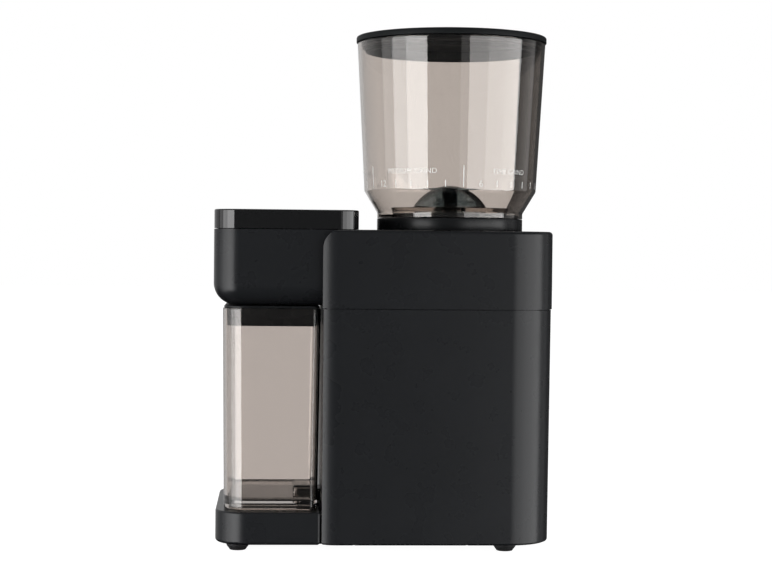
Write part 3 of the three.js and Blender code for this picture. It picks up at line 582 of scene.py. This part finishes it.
def upper_shell():
    brow_start = upper.z1 - BROW
    rim_start = upper.z1 - TOP_R
    heights = sorted(
        {upper.z0, upper.z0 + 1, brow_start, rim_start}
        | set(arc_heights(brow_start, BROW, 14))
        | set(arc_heights(rim_start, TOP_R, 6))
    )
    rings = []
    for z in heights:
        rim = fillet(TOP_R, z - rim_start)
        rings.append(outline(brow_plan(z), z, rim, 0, rim))
    shell = stack("upper_shell", rings)
    bend = brow_start - ROOF
    steps = [upper.z0 - 5, bend, *arc_heights(bend, BROW, 9)]
    inside = stack("inside", [inset_outline(brow_plan(z + WALL), z, WALL) for z in steps])
    dial_hole = cylinder(DIAL_SEAT_R, upper.z1 - 9, upper.z1 + 9, AXIS, TURNS)
    cut(shell, inside, head_skin(HEAD_GAP, upper.z1 + 20), dial_hole)
    return soften(shell)


piece(upper_shell(), "upper_shell", "machine", "body_black", BODY, "upper_housing")

LOWER_INSET = 0.7
LOWER_TAPER = 1.0
LOWER_EDGE = 1.6
NOSE_X = 14  # half width of the nose that locates the container
NOSE_Z = 40
NECK_X = 69  # half width of the base's neck, which passes under the bay's rear wall
NECK_Z = 27
GLAND_R = 5  # waist of the cord inlet
GLAND_AT = ((gland.x0 + gland.x1) / 2, (gland.z0 + gland.z1) / 2)


def lower_shell():
    foot = LOWER_INSET + LOWER_TAPER
    rings = []
    for k in range(6):
        angle = math.pi / 2 * k / 5
        pull = LOWER_EDGE * (1 - math.sin(angle))
        z = lower.z0 + LOWER_EDGE * (1 - math.cos(angle))
        rings.append(outline(HOUSING, z, foot + pull, LOWER_INSET + pull, foot + pull))
    top = upper.z0 - 2 * GAP
    rings.append(inset_outline(HOUSING, top, LOWER_INSET))
    shell = stack("lower_shell", rings)
    inner = LOWER_INSET + WALL
    cut(shell, slab(HOUSING, lower.z0 - 5, top + 5, inner))
    lip = slab(HOUSING, top - 6, lower.z1, inner + 0.05)
    cut(lip, slab(HOUSING, top - 9, lower.z1 + 5, inner + 2))
    nose = stack(
        "nose",
        walls(
            (NOSE_X, lower.y0, upper.y0 + 6, 4, 1),
            rounded([(0, 31, 1), (0, NOSE_Z, 2.5), (4, NOSE_Z)], steps=4),
        ),
    )
    notch_x = NECK_X + GAP
    notch = block(-notch_x, notch_x, upper.y0 - 1, upper.y0 + 6, 0, NECK_Z + GAP)
    way_r = GLAND_R + GAP
    cord_way = lathe(
        "cord_way",
        [(0, gland.y0 - 2), (way_r, gland.y0 - 2), (way_r, gland.y1 + 9), (0, gland.y1 + 9)],
        axis="Y",
        sides=48,
    )
    cord_way.location = (GLAND_AT[0] * MM, 0, GLAND_AT[1] * MM)
    join(shell, nose)
    cut(shell, notch, cord_way)
    soften(shell)
    soften(lip, 0.2)
    return shell, lip


shell, lip = lower_shell()
piece(shell, "lower_shell", "machine", "body_black", BODY, "lower_housing")
piece(lip, "lower_shell_lip", "machine", "body_black", BODY)

# ---------------------------------------------------------------- head and panel

BELOW_PANEL, ABOVE_PANEL = 240, 260  # heights between which the cutters of the panel run
HEAD_WALL = 2.5  # of the head, and of the panel's rim
PANEL_T = 2.6
POUR_R = 17.5  # the hole in the container's lid
SPOUT_R = POUR_R + 0.1  # and the one in the head, over it


def head_case():
    case = head_skin()
    room = (head.x1, head.y0, head.y1 + 30, HEAD_R, HEAD_REAR_R)
    inside = slab(room, head.z0 + HEAD_FILLET, ABOVE_PANEL, HEAD_WALL)
    belly = slab(room, head.z0 + HEAD_WALL, head.z0 + 20, 12)
    cut(case, inside, belly, cylinder(SPOUT_R, head.z0 - 5, head.z0 + 9, OUTLET))
    return soften(case, 0.5)


piece(head_case(), "head_case", "machine", "body_black", BODY, "head_shell")

PANEL_PLAN = (panel.x1, panel.y0, panel.y1, HEAD_R, HEAD_REAR_R)
PANE_PLAN = (display.x1, display.y0, display.y1, 3, 3)
PANE_SEAT = 252.5
KEYS = ("minus", "plus", "mode", "start")
KEY_GAP = 0.35
KEY_STEM_R = 2.4
KEY_SKIRT_Z = 250.8


def panel_cover():
    cover = stack(
        "panel_cover",
        walls(PANEL_PLAN, rounded([(0, panel.z0), (0, panel.z1, 1.0), (9, panel.z1)], steps=6)),
    )
    view = (display.x0 + 4, display.x1 - 4, display.y0 + 3, display.y1 - 3)
    cutters = [
        slab(PANEL_PLAN, panel.z0 - 5, panel.z1 - PANEL_T, HEAD_WALL),
        slab(PANE_PLAN, PANE_SEAT, ABOVE_PANEL, -0.25),
        block(*view, BELOW_PANEL, ABOVE_PANEL),
    ]
    for key in KEYS:
        e = Extent(f"button_{key}")
        cutters.append(cylinder(e.radius + KEY_GAP, BELOW_PANEL, ABOVE_PANEL, e.middle, TURNS))
    cut(cover, *cutters)
    return soften(cover, 0.18)


piece(panel_cover(), "panel_cover", "machine", "panel_gloss", PANEL, "control_panel")

pane_path = rounded([(0, display.z0), (0, display.z1, 0.3), (3, display.z1)], steps=3)
pane = sharpen(stack("pane", walls(PANE_PLAN, pane_path)))
piece(pane, "display_pane", "machine", "display_gloss", GLASS_BLACK, "display_window")


def flat_mark(name, shapes, z, thickness=0.05):
    """A thin printed mark made of flat shapes, each a list of (x, y)."""
    bm = bmesh.new()
    for shape in shapes:
        low = [bm.verts.new((x, y, z)) for x, y in shape]
        high = [bm.verts.new((x, y, z + thickness)) for x, y in shape]
        bm.faces.new(low)
        bm.faces.new(high)
        for i in range(len(shape)):
            j = (i + 1) % len(shape)
            bm.faces.new((low[i], low[j], high[j], high[i]))
    return link(name, bm)


def bar(cx, cy, width, height):
    w, h = width / 2, height / 2
    return [(cx - w, cy - h), (cx + w, cy - h), (cx + w, cy + h), (cx - w, cy + h)]


def dashes(cx, cy, radius, width, count=16):
    """A circle of short bars round a centre."""
    shapes = []
    for i in range(count):
        turn = 2 * math.pi * i / count
        half = math.pi / count * 1.02
        inner, outer = radius - width / 2, radius + width / 2
        corners = [(inner, turn - half), (outer, turn - half), (outer, turn + half), (inner, turn + half)]
        shapes.append([(cx + r * math.cos(a), cy + r * math.sin(a)) for r, a in corners])
    return shapes


def key_sign(key, cx, cy):
    """The flat shapes of a key's sign."""
    across = bar(cx, cy, 5, 0.8)
    if key == "minus":
        return [across]
    if key == "plus":
        return [across, bar(cx, cy + 1.45, 0.8, 2.1), bar(cx, cy - 1.45, 0.8, 2.1)]
    if key == "mode":
        return dashes(cx, cy, 2.6, 0.7)
    return [[(cx - 1.8, cy - 2.4), (cx + 2.6, cy), (cx - 1.8, cy + 2.4)]]


for key in KEYS:
    e = Extent(f"button_{key}")
    body = f"{key}_key"
    profile = rounded(
        [
            (0, e.z0), (KEY_STEM_R, e.z0), (KEY_STEM_R, KEY_SKIRT_Z), (e.radius, KEY_SKIRT_Z),
            (e.radius, e.z1, 0.5), (0, e.z1),
        ]
    )
    button = sharpen(lathe("key", profile, e.middle, 96))
    piece(button, f"key_{key}", body, "button_gloss", KEY, f"button_{key}")
    sign = flat_mark("mark", key_sign(key, *e.middle), e.z1 - 0.045)
    piece(sign, f"key_mark_{key}", body, "button_gloss", INK)

# ---------------------------------------------------------------- base

BASE_R = 24.5
BASE_WALL = 3
BASE_FLOOR_Z = 10
LOAD_POINT = (0, -96)  # the platform's stem, over the load cell
STEM_R = 7
PLATFORM_PLAN = (platform.x1, platform.y0, platform.y1, 16, 4)
PLATFORM_T = 2.9
VENTS = 5
VENT_PITCH = 10
VENT_FRONT = -22
SCREW_HEAD_R, SCREW_SHANK_R = 4.2, 2.1  # of the holes for the base screws
STUD_R = 3  # of the feet


def base_case():
    plan = (tray.x1, tray.y0, upper.y0 - 0.4, BASE_R, 2)
    case = stack(
        "base_case",
        walls(
            plan,
            rounded([(9, tray.z0), (0, tray.z0, 2.6), (0, tray.z1, 1.4), (9, tray.z1)], steps=6),
        ),
    )
    floor = slab(HOUSING, tray.z0, BASE_FLOOR_Z, 3.9)
    neck = block(-NECK_X, NECK_X, upper.y0 - 2, -34, tray.z0, NECK_Z)
    join(case, floor, neck)
    cavity = slab(plan, tray.z0 - 5, NECK_Z - BASE_WALL, BASE_WALL)
    duct = block(-30, 30, upper.y0 - 6, -40, BASE_FLOOR_Z, NECK_Z - BASE_WALL)
    recess = slab(PLATFORM_PLAN, platform.z1 - PLATFORM_T - GAP, 40, -0.4)
    cutters = [cavity, duct, recess, cylinder(STEM_R + 2, 0, 40, LOAD_POINT)]
    for i in range(VENTS):
        y = VENT_FRONT + VENT_PITCH * i
        cutters.append(block(-26, 26, y, y + VENT_PITCH / 2, 0, 20))
    for i in range(1, 5):
        e = Extent(f"base_screw_{i}")
        cutters.append(cylinder(SCREW_HEAD_R, 0, 8.6, e.middle, 32))
        cutters.append(cylinder(SCREW_SHANK_R, 0, 20, e.middle, 32))
    for foot in ("rear_left", "rear_right"):
        cutters.append(cylinder(STUD_R + GAP, 0, 8.5, Extent(f"foot_{foot}").middle, 32))
    cut(case, *cutters)
    return soften(case, 0.3)


piece(base_case(), "base_case", "machine", "body_black", BODY, "base_tray")


def platform_plate():
    low = platform.z1 - PLATFORM_T
    path = rounded([(9, low), (0, low, 0.3), (0, platform.z1, 0.6), (9, platform.z1)])
    plate = stack("plate", walls(PLATFORM_PLAN, path))
    join(plate, cylinder(STEM_R, platform.z0, platform.z1 - 1.5, LOAD_POINT))
    return soften(plate, 0)


piece(platform_plate(), "platform_plate", "machine", "platform_rubber", PLATFORM, "scale_platform")

for foot in ("front_left", "front_right", "rear_left", "rear_right"):
    e = Extent(f"foot_{foot}")
    profile = [
        (0, 0), (5.8, 0, 0.6), (8.2, 3.2, 2), (9.2, 5.7, 0.2), (STUD_R, 5.7), (STUD_R, e.z1),
        (0, e.z1),
    ]
    pad = sharpen(lathe("pad", rounded(profile, steps=4), e.middle, 64))
    piece(pad, f"pad_{foot}", "machine", "foot_rubber", RUBBER, f"foot_{foot}")

gland_profile = [
    (3.6, -6.3, 0.3), (6.4, -6.3, 0.3), (6.4, -3.0), (GLAND_R, -3.0), (GLAND_R, -0.2),
    (6.2, -0.2, 0.1), (6.2, 0.1, 0.3), (3.6, 0.1, 0.3),
]
bush = sharpen(lathe("bush", rounded(gland_profile, closed=True, steps=3), axis="Y", sides=64))
bush.location = (GLAND_AT[0] * MM, (gland.y1 - 0.1) * MM, GLAND_AT[1] * MM)
piece(bush, "cord_bush", "machine", "foot_rubber", RUBBER, "cord_inlet")

# ---------------------------------------------------------------- container

CUP_WALL = 2.4
CUP_R = 18
CUP_REAR_R = 6
CUP_FOOT = (66.5, -118.9, -49)  # half width, front and rear at the bottom
CUP_MOUTH = (68, -120.6, -47.5)  # and at the top
CUP_FLOOR = 37.0
POCKET_X = NOSE_X + 1  # the pocket over the housing's nose
POCKET_FRONT = -65
POCKET_WALL = 2
CAP_STEP_Z = 173.8


def cup_ring(z, inset=0.0):
    share = (z - cup.z0) / (cup.z1 - cup.z0)
    x, front, rear = (a + (b - a) * share for a, b in zip(CUP_FOOT, CUP_MOUTH))
    return inset_outline((x, front, rear, CUP_R, CUP_REAR_R), z, inset)


def container_cup():
    """The clear cup: a foot rim, a rounded inside, and a pocket with a shroud for the nose."""
    outer = rounded([(7, cup.z0), (0, cup.z0, 2.2), (0, cup.z1, 0.7), (CUP_WALL, cup.z1, 0.7)], steps=5)
    inner = rounded([(CUP_WALL, cup.z1), (CUP_WALL, CUP_FLOOR, 5.5), (9, CUP_FLOOR)], steps=8)
    under = rounded([(9, cup.z0 + 4), (3.4, cup.z0 + 4, 1), (3.4, cup.z0, 0.4), (0, cup.z0)], steps=4)
    path = braced(under[:-1] + outer[1:] + inner[1:], closed=False)
    body = stack("cup", [cup_ring(z, inset) for inset, z in path])
    shroud_x = POCKET_X + POCKET_WALL
    pocket_top = NOSE_Z + 1
    shroud = block(-shroud_x, shroud_x, POCKET_FRONT - POCKET_WALL, -52, 34.6, pocket_top + POCKET_WALL)
    soften(shroud, 2, segments=3)
    pocket = block(-POCKET_X, POCKET_X, POCKET_FRONT, -40, 20, pocket_top)
    join(body, shroud)
    cut(body, pocket)
    return soften(body, 0.25, angle=50)


piece(container_cup(), "container_cup", "container", "container_smoked", CUP_SMOKE, "grounds_container")


def container_cap():
    plan = (*CUP_MOUTH, CUP_R, CUP_REAR_R)
    rest = cup.z1 + GAP
    skirt = CUP_WALL + 0.7
    path = rounded(
        [
            (skirt + 2.4, rest - 0.6), (skirt + 2.2, cap.z0, 0.4), (skirt + 0.4, cap.z0, 0.5),
            (skirt + 0.2, CAP_STEP_Z - 0.4, 0.2), (skirt, CAP_STEP_Z, 0.2), (skirt, rest),
            (0.9, rest, 0.3), (0.9, cap.z1, 1.2), (9, cap.z1),
        ],
        steps=4,
    )
    top = stack("cap", walls(plan, path))
    cut(top, cylinder(POUR_R, 150, 200, OUTLET, 96))
    return soften(top, 0.2)


piece(container_cap(), "container_cap", "container", "lid_black", LID, "container_lid")

# ---------------------------------------------------------------- hopper

BOWL_WALL = 2.4
SHOULDER = (66.6, 270.5)
NECK_R = dial.radius
NECK_TOP = 253.6
BOWL_TOP_R = 72.9
FLOOR_Z = bowl.z0
RIB_INNER, RIB_OUTER = 43, 45.9  # radii of the rib under the floor
WINDOW_INNER, WINDOW_OUTER, WINDOW_HALF = 14, 32, 42  # two radii and half the angle of a bean window
WINDOW_CUT = (240, 262)  # heights between which the cutters of the windows run


def hopper_bowl():
    inner = NECK_R - BOWL_WALL
    profile = [
        (NECK_R, bowl.z0, 0.3), (NECK_R, NECK_TOP, 3), (*SHOULDER, 3.0),
        (BOWL_TOP_R, bowl.z1, 0.8), (BOWL_TOP_R - BOWL_WALL, bowl.z1, 0.8),
        (SHOULDER[0] - BOWL_WALL, SHOULDER[1] + 0.6, 1.2), (inner, NECK_TOP + 0.8, 2),
        (inner, bowl.z0, 0.3),
    ]
    path = braced(rounded(profile, closed=True, steps=6))
    return sharpen(lathe("bowl", path, AXIS, FINE_TURNS), 60)


piece(hopper_bowl(), "hopper_glass", "hopper", "hopper_smoked", BOWL_SMOKE, "hopper_bowl")


def windows():
    """Cutters for the two bean windows, front and rear of the hub."""
    z0, z1 = WINDOW_CUT
    made = []
    for middle in (-90, 90):
        sweep = [math.radians(middle + WINDOW_HALF * (k / 8 - 1)) for k in range(17)]
        edge = [(WINDOW_OUTER * math.cos(a), WINDOW_OUTER * math.sin(a)) for a in sweep]
        edge += [(WINDOW_INNER * math.cos(a), WINDOW_INNER * math.sin(a)) for a in reversed(sweep)]
        made.append(flat_mark("window", [[(x + AXIS[0], y + AXIS[1]) for x, y in edge]], z0, z1 - z0))
    return made


def hopper_floor():
    """The floor in the neck, with a rib under it that fits inside the adjusting ring."""
    path = rounded(
        [
            (0, FLOOR_Z), (RIB_INNER, FLOOR_Z), (RIB_INNER, collar.z0, 0.2),
            (RIB_OUTER, collar.z0, 0.3), (RIB_OUTER, FLOOR_Z), (collar.radius, FLOOR_Z, 0.3),
            (collar.radius, collar.z1, 0.4), (0, collar.z1),
        ],
        steps=3,
    )
    return soften(cut(lathe("floor", path, AXIS), *windows()), 0.15, angle=60)


piece(hopper_floor(), "hopper_floor", "hopper", "lid_black", LID, "hopper_collar")

SHUTTER_BORE_R = 13.2
SHUTTER_T = 1.2


def shutter_dish():
    """The shutter: a thin plate with a raised rim, with the same windows as the floor."""
    top = dish.z0 + SHUTTER_T
    path = rounded(
        [
            (SHUTTER_BORE_R, dish.z0), (44, dish.z0, 0.8), (dish.radius, dish.z1, 0.4),
            (dish.radius - 1.4, dish.z1, 0.4), (42.8, top, 0.6), (SHUTTER_BORE_R, top),
        ],
        closed=True,
        steps=3,
    )
    return soften(cut(lathe("shutter", path, AXIS), *windows()), 0)


piece(shutter_dish(), "shutter_dish", "shutter", "hopper_smoked", BOWL_SMOKE, "hopper_shutter")

GUARD_RISE = 16
GUARD_WALL = 2
HUB_R = 12.6
HUB_TOP = 257.5
HUB_SLOTS = 12
POST_R = 6
WEB_ANGLES = (90, 210, 330)


def turned(obj, degrees):
    """Turns an object drawn about the origin, and moves it to the hopper's axis."""
    obj.data.transform(Matrix.Rotation(math.radians(degrees), 4, "Z"))
    obj.data.transform(Matrix.Translation((AXIS[0] * MM, AXIS[1] * MM, 0)))
    return obj


def guard_dome():
    """The dome on its post, three webs under it, and a foot with upright slots."""
    rim = guard.z1 - GUARD_RISE
    sphere = (guard.radius**2 + GUARD_RISE**2) / (2 * GUARD_RISE)
    centre = guard.z1 - sphere

    def cap_line(lift, steps=14):
        radii = [guard.radius * math.sin(math.pi / 2 * k / steps) for k in range(steps + 1)]
        return [(r, lift + math.sqrt(sphere**2 - r * r)) for r in radii]

    top = cap_line(centre)
    under = list(reversed(cap_line(centre - GUARD_WALL)))
    dome = lathe("dome", top + [(guard.radius, rim - 1)] + under[1:], AXIS, 96)
    hub_profile = [
        (0, guard.z0), (HUB_R, guard.z0, 0.3), (HUB_R, HUB_TOP, 0.8), (POST_R, HUB_TOP, 1),
        (POST_R, guard.z1 - 3), (0, guard.z1 - 3),
    ]
    hub = lathe("hub", rounded(hub_profile, steps=3), AXIS, 72)
    slots = []
    for k in range(HUB_SLOTS):
        slot = block(7.5, HUB_R + 2, -1.5, 1.5, guard.z0 + 0.8, HUB_TOP - 0.9)
        slots.append(turned(slot, 360 / HUB_SLOTS * (k + 0.5)))
    cut(hub, *slots)
    join(dome, hub)
    for degrees in WEB_ANGLES:
        join(dome, turned(block(2, 22, -0.9, 0.9, HUB_TOP + 0.5, guard.z1 - 10), degrees))
    return sharpen(dome, 45)


piece(guard_dome(), "guard_dome", "hopper", "hopper_smoked", GUARD_SMOKE, "bean_guard")

LIP_Z = lid.z1 - 4.6
LID_UNDER_Z = 386
LID_DISH_Z = 388.4
SKIRT_R = 66.8


def hopper_cap():
    """The lid: a skirt that enters the bowl, and a top with a shallow dish."""
    path = rounded(
        [
            (0, LID_UNDER_Z), (63.5, LID_UNDER_Z, 1.5), (63.5, lid.z0, 0.4), (SKIRT_R, lid.z0, 0.6),
            (SKIRT_R, LIP_Z, 0.3), (lid.radius, LIP_Z, 0.5), (lid.radius, lid.z1, 1.3),
            (65.5, lid.z1, 0.6), (63, LID_DISH_Z, 1.5), (0, LID_DISH_Z),
        ],
        steps=5,
    )
    return sharpen(lathe("lid", path, AXIS, FINE_TURNS), 60)


piece(hopper_cap(), "hopper_cap", "lid", "lid_black", HOPPER_LID, "hopper_lid")

seal = Extent("lid_seal")
ring = sharpen(ring_body("seal", seal.radius, SKIRT_R + GAP, seal.z0, seal.z1, edge=0.9))
piece(ring, "seal_ring", "lid", "silicone", SILICONE, "lid_seal")

DIAL_FLANGE_Z = 240.2
DIAL_BORE_R = 46.4


def dial_ring():
    """The adjusting ring: a flange over the housing's top, and a skirt that goes into it."""
    path = rounded(
        [
            (48.4, dial.z0), (52, dial.z0, 0.3), (52, 234), (51, 234), (51, DIAL_FLANGE_Z),
            (dial.radius, DIAL_FLANGE_Z, 0.3), (dial.radius, dial.z1, 0.5),
            (DIAL_BORE_R, dial.z1, 0.5), (DIAL_BORE_R, 239), (48.4, 239),
        ],
        closed=True,
        steps=3,
    )
    return sharpen(lathe("dial", path, AXIS, FINE_TURNS), 50)


piece(dial_ring(), "dial_ring", "adjuster", "lid_black", LID, "adjusting_ring")

# ---------------------------------------------------------------- the printed scale

SCALE_STEP = math.radians(11.55)
SCALE_SEVEN = math.radians(3.5)  # where the mark for 7 stands, from +X towards +Y
LONG_MARKS = (7, 13, 19)
NUMBERED = (6, 12, 18)
ZONES = (("FINE GRIND", 37), ("MEDIUM GRIND", -31.2), ("COARSE GRIND", -100.4))
TICK_Z = 272.4
TICK_TOP, LONG_TICK_TOP = 277.3, 288.2
ZONE_Z = 282.4
INK_HALF = 0.02  # half the thickness of the print
NUMBER_HEIGHT, WORD_HEIGHT = 5.0, 3.9
WORD_SPACING = 1.06
CAP_SHARE = 0.7  # height of a capital letter, as a share of the font size


def bowl_radius(z):
    low_r, low_z = SHOULDER
    return low_r + (BOWL_TOP_R - low_r) * (z - low_z) / (bowl.z1 - low_z)


def wrap(bm, angle, lift=0.05):
    """Bends a flat drawing in X and Z round the bowl, centred on an angle."""
    for v in bm.verts:
        across, out, z = v.co
        radius = bowl_radius(z) + lift + out
        turn = angle + across / radius
        v.co = (AXIS[0] + radius * math.cos(turn), AXIS[1] + radius * math.sin(turn), z)


def printed_bar(angle, z0, z1, width):
    bm = bmesh.new()
    bmesh.ops.create_cube(bm, size=1)
    bmesh.ops.scale(bm, vec=(width, 2 * INK_HALF, z1 - z0), verts=bm.verts)
    bmesh.ops.translate(bm, vec=(0, 0, (z0 + z1) / 2), verts=bm.verts)
    wrap(bm, angle)
    return link("bar", bm)


def printed_text(text, angle, z, height, spacing=1.0):
    curve = bpy.data.curves.new("text", "FONT")
    curve.body = text
    curve.size = height / CAP_SHARE
    curve.extrude = INK_HALF
    curve.align_x = "CENTER"
    curve.space_character = spacing
    curve.offset = -0.02 * curve.size  # thinner strokes
    curve.resolution_u = 4
    letters = bpy.data.objects.new("text", curve)
    bpy.context.scene.collection.objects.link(letters)
    bpy.context.view_layer.update()
    graph = bpy.context.evaluated_depsgraph_get()
    mesh = bpy.data.meshes.new_from_object(letters.evaluated_get(graph))
    bpy.data.objects.remove(letters)
    bm = bmesh.new()
    bm.from_mesh(mesh)
    bpy.data.meshes.remove(mesh)
    bmesh.ops.rotate(bm, verts=bm.verts, matrix=Matrix.Rotation(math.pi / 2, 3, "X"))
    bmesh.ops.translate(bm, vec=(0, 0, z), verts=bm.verts)
    wrap(bm, angle)
    return link("text", bm)


def merge(objects):
    """One object from several, with their meshes side by side in it."""
    bm = bmesh.new()
    for obj in objects:
        bm.from_mesh(obj.data)
        bpy.data.objects.remove(obj)
    mesh = bpy.data.meshes.new("merged")
    bm.to_mesh(mesh)
    bm.free()
    merged = bpy.data.objects.new("merged", mesh)
    bpy.context.scene.collection.objects.link(merged)
    return merged


marks = []
for number in range(1, 21):
    angle = SCALE_SEVEN - (number - 7) * SCALE_STEP
    if number in LONG_MARKS:
        marks.append(printed_bar(angle, TICK_Z, LONG_TICK_TOP, 0.55))
    elif number in NUMBERED:
        marks.append(printed_text(str(number), angle, TICK_Z + 0.2, NUMBER_HEIGHT))
    else:
        marks.append(printed_bar(angle, TICK_Z, TICK_TOP, 0.5))
for words, degrees in ZONES:
    marks.append(printed_text(words, math.radians(degrees), ZONE_Z, WORD_HEIGHT, WORD_SPACING))
piece(merge(marks), "scale_print", "hopper", "hopper_smoked", INK)

# ---------------------------------------------------------------- camera

CAMERA_AT = (1.44675, -0.07959, 0.22551)  # metres
CAMERA_YAW = 0.058  # radians, from -X towards +Y
CAMERA_PITCH = 0.0218  # downwards
CAMERA_ROLL = 0.0099
LENS = 86.77
SENSOR = 36


def add_camera():
    forward = Vector(
        (
            -math.cos(CAMERA_PITCH) * math.cos(CAMERA_YAW),
            math.cos(CAMERA_PITCH) * math.sin(CAMERA_YAW),
            -math.sin(CAMERA_PITCH),
        )
    )
    level = forward.cross(Vector((0, 0, 1))).normalized()
    upright = level.cross(forward)
    right = math.cos(CAMERA_ROLL) * level + math.sin(CAMERA_ROLL) * upright
    up = right.cross(forward)
    data = bpy.data.cameras.new("camera")
    data.lens = LENS
    data.sensor_width = SENSOR
    camera = bpy.data.objects.new("camera", data)
    bpy.context.scene.collection.objects.link(camera)
    facing = Matrix((right, up, -forward)).transposed().to_4x4()
    camera.matrix_world = Matrix.Translation(CAMERA_AT) @ facing
    bpy.context.scene.camera = camera


add_camera()

# ---------------------------------------------------------------- light and floor


def maths(tree, operation, first, second):
    """A math node of two inputs, each a socket or a number."""
    node = tree.nodes.new("ShaderNodeMath")
    node.operation = operation
    for target, value in zip(node.inputs, (first, second)):
        if isinstance(value, bpy.types.NodeSocket):
            tree.links.new(value, target)
        else:
            target.default_value = value
    return node.outputs[0]


def straight_through(tree, or_camera=False):
    """1 for a ray that has only come through clear plastic, and 0 for one that was reflected.

    With or_camera the camera's own rays get 1 too. The cards and the world use it, so that
    clear parts show the white backdrop.
    """
    path = tree.nodes.new("ShaderNodeLightPath")
    passed = path.outputs["Is Transmission Ray"]
    if or_camera:
        passed = maths(tree, "MAXIMUM", passed, path.outputs["Is Camera Ray"])
    bounces = maths(tree, "ADD", path.outputs["Glossy Depth"], path.outputs["Diffuse Depth"])
    return maths(tree, "GREATER_THAN", passed, bounces)


BACKDROP = 1.0  # radiance of plain white


def studio_card(name, azimuth, distance, width, bottom, top, radiance, seen):
    """An upright glowing card round the object. Azimuth runs from +X towards +Y.

    The camera doesn't see it. Straight through clear plastic it looks like `seen`, and
    reflections and the light it gives have its radiance. Lengths are in millimetres.
    """
    bm = bmesh.new()
    bmesh.ops.create_grid(bm, x_segments=2, y_segments=2, size=0.5)
    bmesh.ops.rotate(bm, verts=bm.verts, matrix=Matrix.Rotation(math.pi / 2, 3, "Y"))
    bmesh.ops.scale(bm, vec=(1, width, top - bottom), verts=bm.verts)
    bmesh.ops.translate(bm, vec=(distance, 0, (bottom + top) / 2), verts=bm.verts)
    bmesh.ops.rotate(bm, verts=bm.verts, matrix=Matrix.Rotation(math.radians(azimuth), 3, "Z"))
    card = link(name, bm)
    material = bpy.data.materials.new(name)
    material.use_nodes = True
    tree = material.node_tree
    tree.nodes.clear()
    glow = tree.nodes.new("ShaderNodeEmission")
    output = tree.nodes.new("ShaderNodeOutputMaterial")
    tree.links.new(glow.outputs[0], output.inputs["Surface"])
    change = maths(tree, "MULTIPLY", straight_through(tree), seen - radiance)
    tree.links.new(maths(tree, "ADD", change, radiance), glow.inputs["Strength"])
    card.data.materials.append(material)
    card.visible_camera = False
    card.visible_shadow = False


def light_wall(name, strips, distance=1300, bottom=-650, top=450):
    """Cards side by side, one for each strip (first azimuth, last azimuth, radiance).

    They end low, so that the object's top faces don't mirror them from low cameras.
    """
    for i, (first, last, radiance) in enumerate(strips):
        width = 2 * distance * math.tan(math.radians(last - first) / 2)
        middle = (first + last) / 2
        studio_card(f"{name}_{i}", middle, distance, width, bottom, top, radiance, BACKDROP)


light_wall("softbox_rear", [(9, 19, 0.6), (19, 42, 3.2), (42, 65, 4.2), (65, 88, 4.6)])
light_wall("softbox_front", [(-60, -32, 6.4), (-80, -60, 4.2), (-98, -80, 1.4)])
DARK = 0.06
studio_card(
    "dark_card",
    azimuth=142,
    distance=1600,
    width=1500,
    bottom=-1300,
    top=1700,
    radiance=DARK,
    seen=DARK,
)


def softbox_top():
    """A soft light above the object and a little behind it, in metres and watts."""
    data = bpy.data.lights.new("softbox_top", "AREA")
    data.size = 1.2
    data.energy = 5
    light = bpy.data.objects.new("softbox_top", data)
    light.location = (-0.41, 0, 1.75)
    light.rotation_euler = (0, math.radians(-15), 0)
    light.visible_camera = False
    light.visible_transmission = False
    bpy.context.scene.collection.objects.link(light)


softbox_top()


def add_world():
    """White to the camera and straight through clear plastic.

    To other rays it is brighter towards -X than towards +X, and dark below.
    """
    world = bpy.data.worlds.new("studio")
    bpy.context.scene.world = world
    world.use_nodes = True
    tree = world.node_tree
    background = tree.nodes["Background"]
    background.inputs["Color"].default_value = (1, 1, 1, 1)
    coords = tree.nodes.new("ShaderNodeTexCoord")
    split = tree.nodes.new("ShaderNodeSeparateXYZ")
    tree.links.new(coords.outputs["Generated"], split.inputs["Vector"])

    def ramp(axis, low, high, at_low, at_high):
        node = tree.nodes.new("ShaderNodeMapRange")
        node.interpolation_type = "SMOOTHSTEP"
        node.inputs["From Min"].default_value = low
        node.inputs["From Max"].default_value = high
        node.inputs["To Min"].default_value = at_low
        node.inputs["To Max"].default_value = at_high
        tree.links.new(split.outputs[axis], node.inputs["Value"])
        return node.outputs["Result"]

    straight = straight_through(tree, or_camera=True)
    sideways = ramp("X", -0.5, 0.2, 0.6, 0.12)
    upwards = ramp("Z", -0.4, -0.1, 0.0, 1.0)
    around = maths(tree, "MULTIPLY", sideways, upwards)
    tree.links.new(maths(tree, "MAXIMUM", straight, around), background.inputs["Strength"])


add_world()


FLOOR_TONE = 0.25
FLOOR_GLOW = 0.97


def add_floor():
    """A pale floor that only the camera sees, so that it can't tint the clear parts."""
    bm = bmesh.new()
    bmesh.ops.create_grid(bm, x_segments=8, y_segments=8, size=9000)
    floor = link("floor", bm)
    floor.location.z = cad_bounds[0][2] - 0.0002
    n = Nodes("floor_pale")
    n.set(Roughness=0.9, Emission_Color=(1, 1, 1, 1), Emission_Strength=FLOOR_GLOW)
    n.mottle(n.noise(0.8, 2), [FLOOR_TONE] * 3, 0.01)
    floor.data.materials.append(n.material)
    floor.visible_glossy = False
    floor.visible_diffuse = False
    floor.visible_transmission = False


add_floor()
bpy.context.scene.view_settings.view_transform = "Standard"
